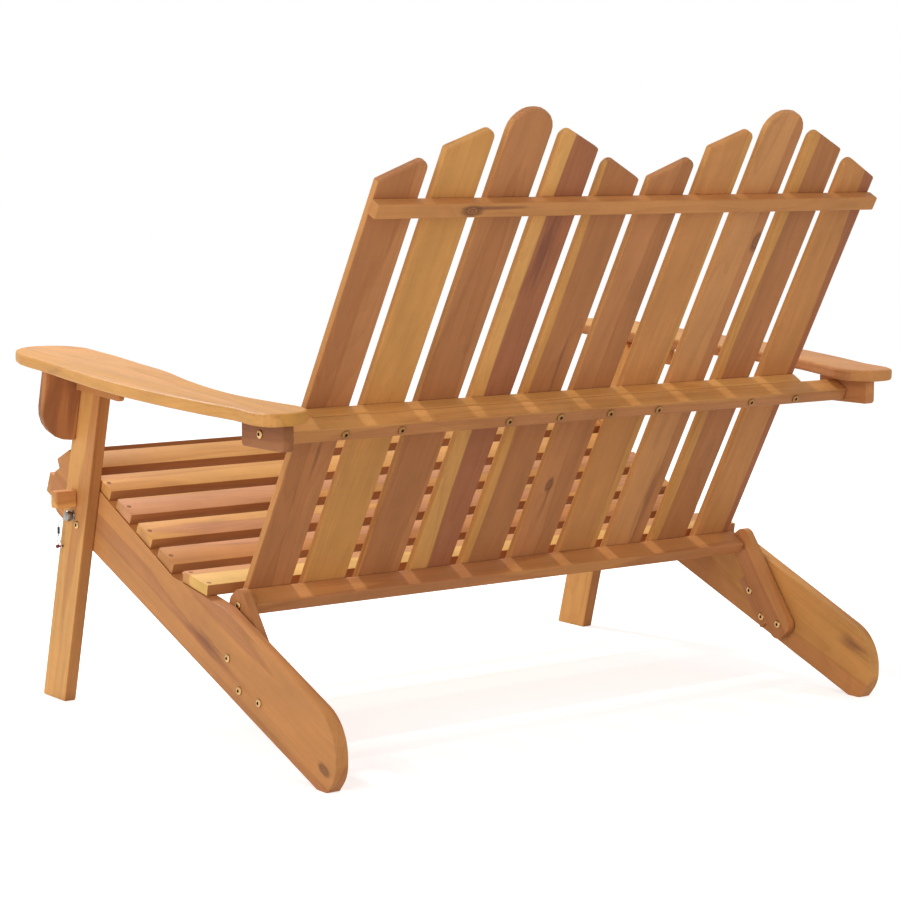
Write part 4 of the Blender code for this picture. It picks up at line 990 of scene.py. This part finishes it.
def screw_places():
    """(name, body, place, direction) of every screw."""
    places = []
    slats = seat_slats()
    for node, corner, slope, width in slats:
        top = seat_slat_top(corner, slope, width)
        rows = REAR_SLAT_SCREWS if node == slats[-1][0] else (0.0,)
        for side, sign in SIDES:
            for row, step in enumerate(rows):
                place = Vector((sign * SEAT_SCREW_X, top.y, top.z)) + step * down_the(slope)
                places.append((f"{side}_{node}_screw_{row + 1}", "seat_frame", place, over_the(slope)))
    apron = apron_middle() + APRON_THICK / 2 * APRON_FACE
    for side, sign in SIDES:
        for row, step in enumerate(APRON_SCREWS):
            place = Vector((sign * SEAT_SCREW_X, apron.y, apron.z)) + step * over_the(APRON_LEAN)
            places.append((f"{side}_apron_screw_{row + 1}", "seat_frame", place, APRON_FACE))
    for slat in range(1, len(BACK_SLATS) + 1):
        centre = (len(BACK_SLATS) / 2 + 0.5 - slat) * SLAT_PITCH
        rows = [(along, way) for along in SLAT_SCREWS_ALONG for way in (1, -1)]
        if slat in CROWN_SLATS:
            rows += [(MID_BOLT_ALONG, way) for way in (1, -1)]
        for number, (along, way) in enumerate(rows):
            x = centre * (1 - SLAT_DRIFT * along) + way * SLAT_SCREW_ACROSS
            place = back_point(x, SLAT_FRONT_BEHIND, along)
            places.append((f"slat_screw_{slat}_{number + 1}", "back", place, -BEHIND_THE_BACK))
    return places


def make_screws(steel):
    mesh = screw_mesh(steel)
    for name, body, place, direction in screw_places():
        place_piece(name, mesh, facing(place, direction), body)


# Lock pins
def make_lock_pins(steel):
    """Steel pull pins: a flange, a neck and a knob with rounded edges."""
    c = PIN_CHAMFER
    profile = [
        (0, PIN_KNOB), (PIN_KNOB_R - 2 * c, PIN_KNOB), (PIN_KNOB_R - c / 2, PIN_KNOB - c / 2),
        (PIN_KNOB_R, PIN_KNOB - 2 * c), (PIN_KNOB_R, PIN_NECK + c), (PIN_KNOB_R - c, PIN_NECK),
        (PIN_NECK_R, PIN_NECK), (PIN_NECK_R, PIN_FLANGE), (PIN_FLANGE_R - c / 2, PIN_FLANGE),
        (PIN_FLANGE_R, PIN_FLANGE - c / 2), (PIN_FLANGE_R, FACE_GAP), (PIN_SHANK_R, FACE_GAP),
        (PIN_SHANK_R, -PIN_SHANK), (0, -PIN_SHANK),
    ]
    mesh = lathed("lock_pin", profile, HEAD_SIDES)
    mesh.materials.append(steel)
    for side, sign in SIDES:
        node = side + "_lock_pin"
        matrix = facing((sign * LEG_OUTER_X, *LOCK_PIN), (sign, 0, 0))
        place_piece(node + "_fine", mesh, matrix, node, [node])


# Lanyards
def smooth_route(points, spacing):
    """Points on a smooth curve through the route's own points, about one spacing apart."""
    knots = [Vector(p) for p in points]
    knots = [2 * knots[0] - knots[1], *knots, 2 * knots[-1] - knots[-2]]
    route = []
    for a, b, c, d in zip(knots, knots[1:], knots[2:], knots[3:]):
        steps = max(1, round((c - b).length / spacing))
        for step in range(steps):
            t = step / steps
            route.append(0.5 * (
                2 * b + (c - a) * t + (2 * a - 5 * b + 4 * c - d) * t ** 2 + (3 * b - a - 3 * c + d) * t ** 3
            ))
    route.append(knots[-2])
    return route


def cable_piece(side, sign, cable):
    curve = bpy.data.curves.new(side + "_lanyard_cable", "CURVE")
    curve.dimensions = "3D"
    curve.bevel_depth = CABLE_R
    curve.bevel_resolution = 3
    curve.use_fill_caps = True
    route = smooth_route(LANYARD_ROUTE, CABLE_R)
    spline = curve.splines.new("POLY")
    spline.points.add(len(route) - 1)
    for point, (x, y, z) in zip(spline.points, route):
        point.co = (sign * x, y, z, 1)
    curve.materials.append(cable)
    item = new_object(side + "_lanyard_cable", curve)
    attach(item, side + "_front_leg")
    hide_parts(side + "_lanyard", side + "_lanyard_loop")
    return item


def ferrule_mesh(black):
    """A sleeve with two crimped grooves; its outline is in shares of its radius and its length."""
    length = FERRULE_TOP - FERRULE_BOTTOM
    outline = [(0, 0), (0.8, 0), (1, 0.04)]
    for groove in FERRULE_GROOVES:
        outline += [(1, groove), (FERRULE_CRIMP, groove + 0.03), (FERRULE_CRIMP, groove + 0.08),
                    (1, groove + 0.11)]
    outline += [(1, 0.96), (0.8, 1), (0, 1)]
    mesh = lathed("ferrule", [(r * FERRULE_R, -z * length) for r, z in outline], HEAD_SIDES)
    mesh.materials.append(black)
    return mesh


def bead_screw_mesh(red):
    """A screw with a round bead for a head, in steps of a tenth of a radian."""
    out = BEAD_X - LEG_OUTER_X
    bead = [(BEAD_R * math.sin(turn / 10), out + BEAD_R * math.cos(turn / 10)) for turn in range(28)]
    bead[0] = (0, bead[0][1])
    bead += [(BEAD_SHANK_R, out - BEAD_R), (BEAD_SHANK_R, -BEAD_SHANK), (0, -BEAD_SHANK)]
    mesh = lathed("bead_screw", bead, HEAD_SIDES)
    mesh.materials.append(red)
    return mesh


def make_lanyards(cable, black, red):
    """A cable from each knob through a crimped ferrule and in a loop round a bead screw."""
    ferrule = ferrule_mesh(black)
    screw = bead_screw_mesh(red)
    for side, sign in SIDES:
        body = side + "_front_leg"
        node = side + "_lanyard_ferrule"
        place = Matrix.Translation((sign * FERRULE_PLACE[0], FERRULE_PLACE[1], FERRULE_TOP))
        crimp = place_piece(node + "_fine", ferrule, place, body, [node])
        item = cable_piece(side, sign, cable)
        node = side + "_lanyard_screw"
        matrix = facing((sign * LEG_OUTER_X, *LANYARD_SCREW), (sign, 0, 0))
        place_piece(node + "_fine", screw, matrix, body, [node])


# Stage
def make_camera():
    data = bpy.data.cameras.new("camera")
    data.lens = CAMERA_LENS
    data.sensor_width = CAMERA_SENSOR
    camera = new_object("camera", data)
    turn = math.radians(CAMERA_AZIMUTH)
    rise = math.radians(CAMERA_ELEVATION)
    back = Vector((math.sin(turn) * math.cos(rise), -math.cos(turn) * math.cos(rise), math.sin(rise)))
    camera.location = CAMERA_PLACE
    camera.rotation_euler = back.to_track_quat("Z", "Y").to_euler()
    bpy.context.scene.camera = camera


def make_area_light(name, strength, size, place):
    data = bpy.data.lights.new(name, "AREA")
    data.energy = strength
    data.size = size
    light = new_object(name, data)
    light.location = place
    light.rotation_euler = (Vector(LIGHT_TARGET) - Vector(place)).to_track_quat("-Z", "Y").to_euler()


def seen_directly(g):
    path = g.add("LightPath").outputs
    clear = g.math("MAXIMUM", path["Is Glossy Ray"], path["Is Transmission Ray"])
    return g.math("MAXIMUM", path["Is Camera Ray"], clear)


def make_world():
    world = bpy.data.worlds.new("studio")
    world.use_nodes = True
    bpy.context.scene.world = world
    g = Graph(world.node_tree)
    background = world.node_tree.nodes["Background"]
    background.inputs["Color"].default_value = (1.0, 1.0, 1.0, 1.0)
    strength = g.math("MULTIPLY_ADD", seen_directly(g), 1.0 - WORLD_STRENGTH, WORLD_STRENGTH)
    g.feed(background.inputs["Strength"], strength)


def make_floor():
    bpy.ops.mesh.primitive_plane_add(size=2 * FLOOR_HALF)
    floor = bpy.context.object
    floor.name = "floor"
    material, g, shader = new_material("floor")
    shader.inputs["Base Color"].default_value = (FLOOR_TONE, FLOOR_TONE, FLOOR_TONE, 1.0)
    shader.inputs["Roughness"].default_value = 1.0
    shader.inputs["Specular IOR Level"].default_value = 0.0
    shader.inputs["Emission Color"].default_value = (1.0, 1.0, 1.0, 1.0)
    g.feed(shader.inputs["Emission Strength"], g.math("MULTIPLY", seen_directly(g), FLOOR_GLOW))
    floor.data.materials.append(material)


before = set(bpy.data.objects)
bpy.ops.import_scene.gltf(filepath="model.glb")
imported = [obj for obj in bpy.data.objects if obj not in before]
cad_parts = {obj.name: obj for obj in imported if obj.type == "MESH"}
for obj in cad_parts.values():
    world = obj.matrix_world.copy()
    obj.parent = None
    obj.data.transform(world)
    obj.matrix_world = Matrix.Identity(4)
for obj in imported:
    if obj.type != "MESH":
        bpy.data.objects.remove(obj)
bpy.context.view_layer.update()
make_camera()
make_lanyards(cable_material(), lacquer_material("ferrule", FERRULE_BLACK, 0.4),
              lacquer_material("lanyard_screw", BEAD_RED, 0.3))
make_world()
make_floor()
make_area_light("key", *KEY)
make_area_light("side_fill", *SIDE_FILL)
make_area_light("rear_fill", *REAR_FILL)
dress_boards(remake_boards())
# The second brass is rougher, and its darker colour is painted shade for the mid rail's bolts
make_bolts(metal_material("brass", BRASS, 0.26, socket=True),
           metal_material("dull_shaded_brass", SHADED_BRASS, 0.42, socket=True))
make_screws(metal_material("dark_screw", SCREW_BROWN, 0.45))
make_lock_pins(metal_material("steel", PIN_STEEL, 0.30))
bpy.context.scene.view_settings.view_transform = "Standard"
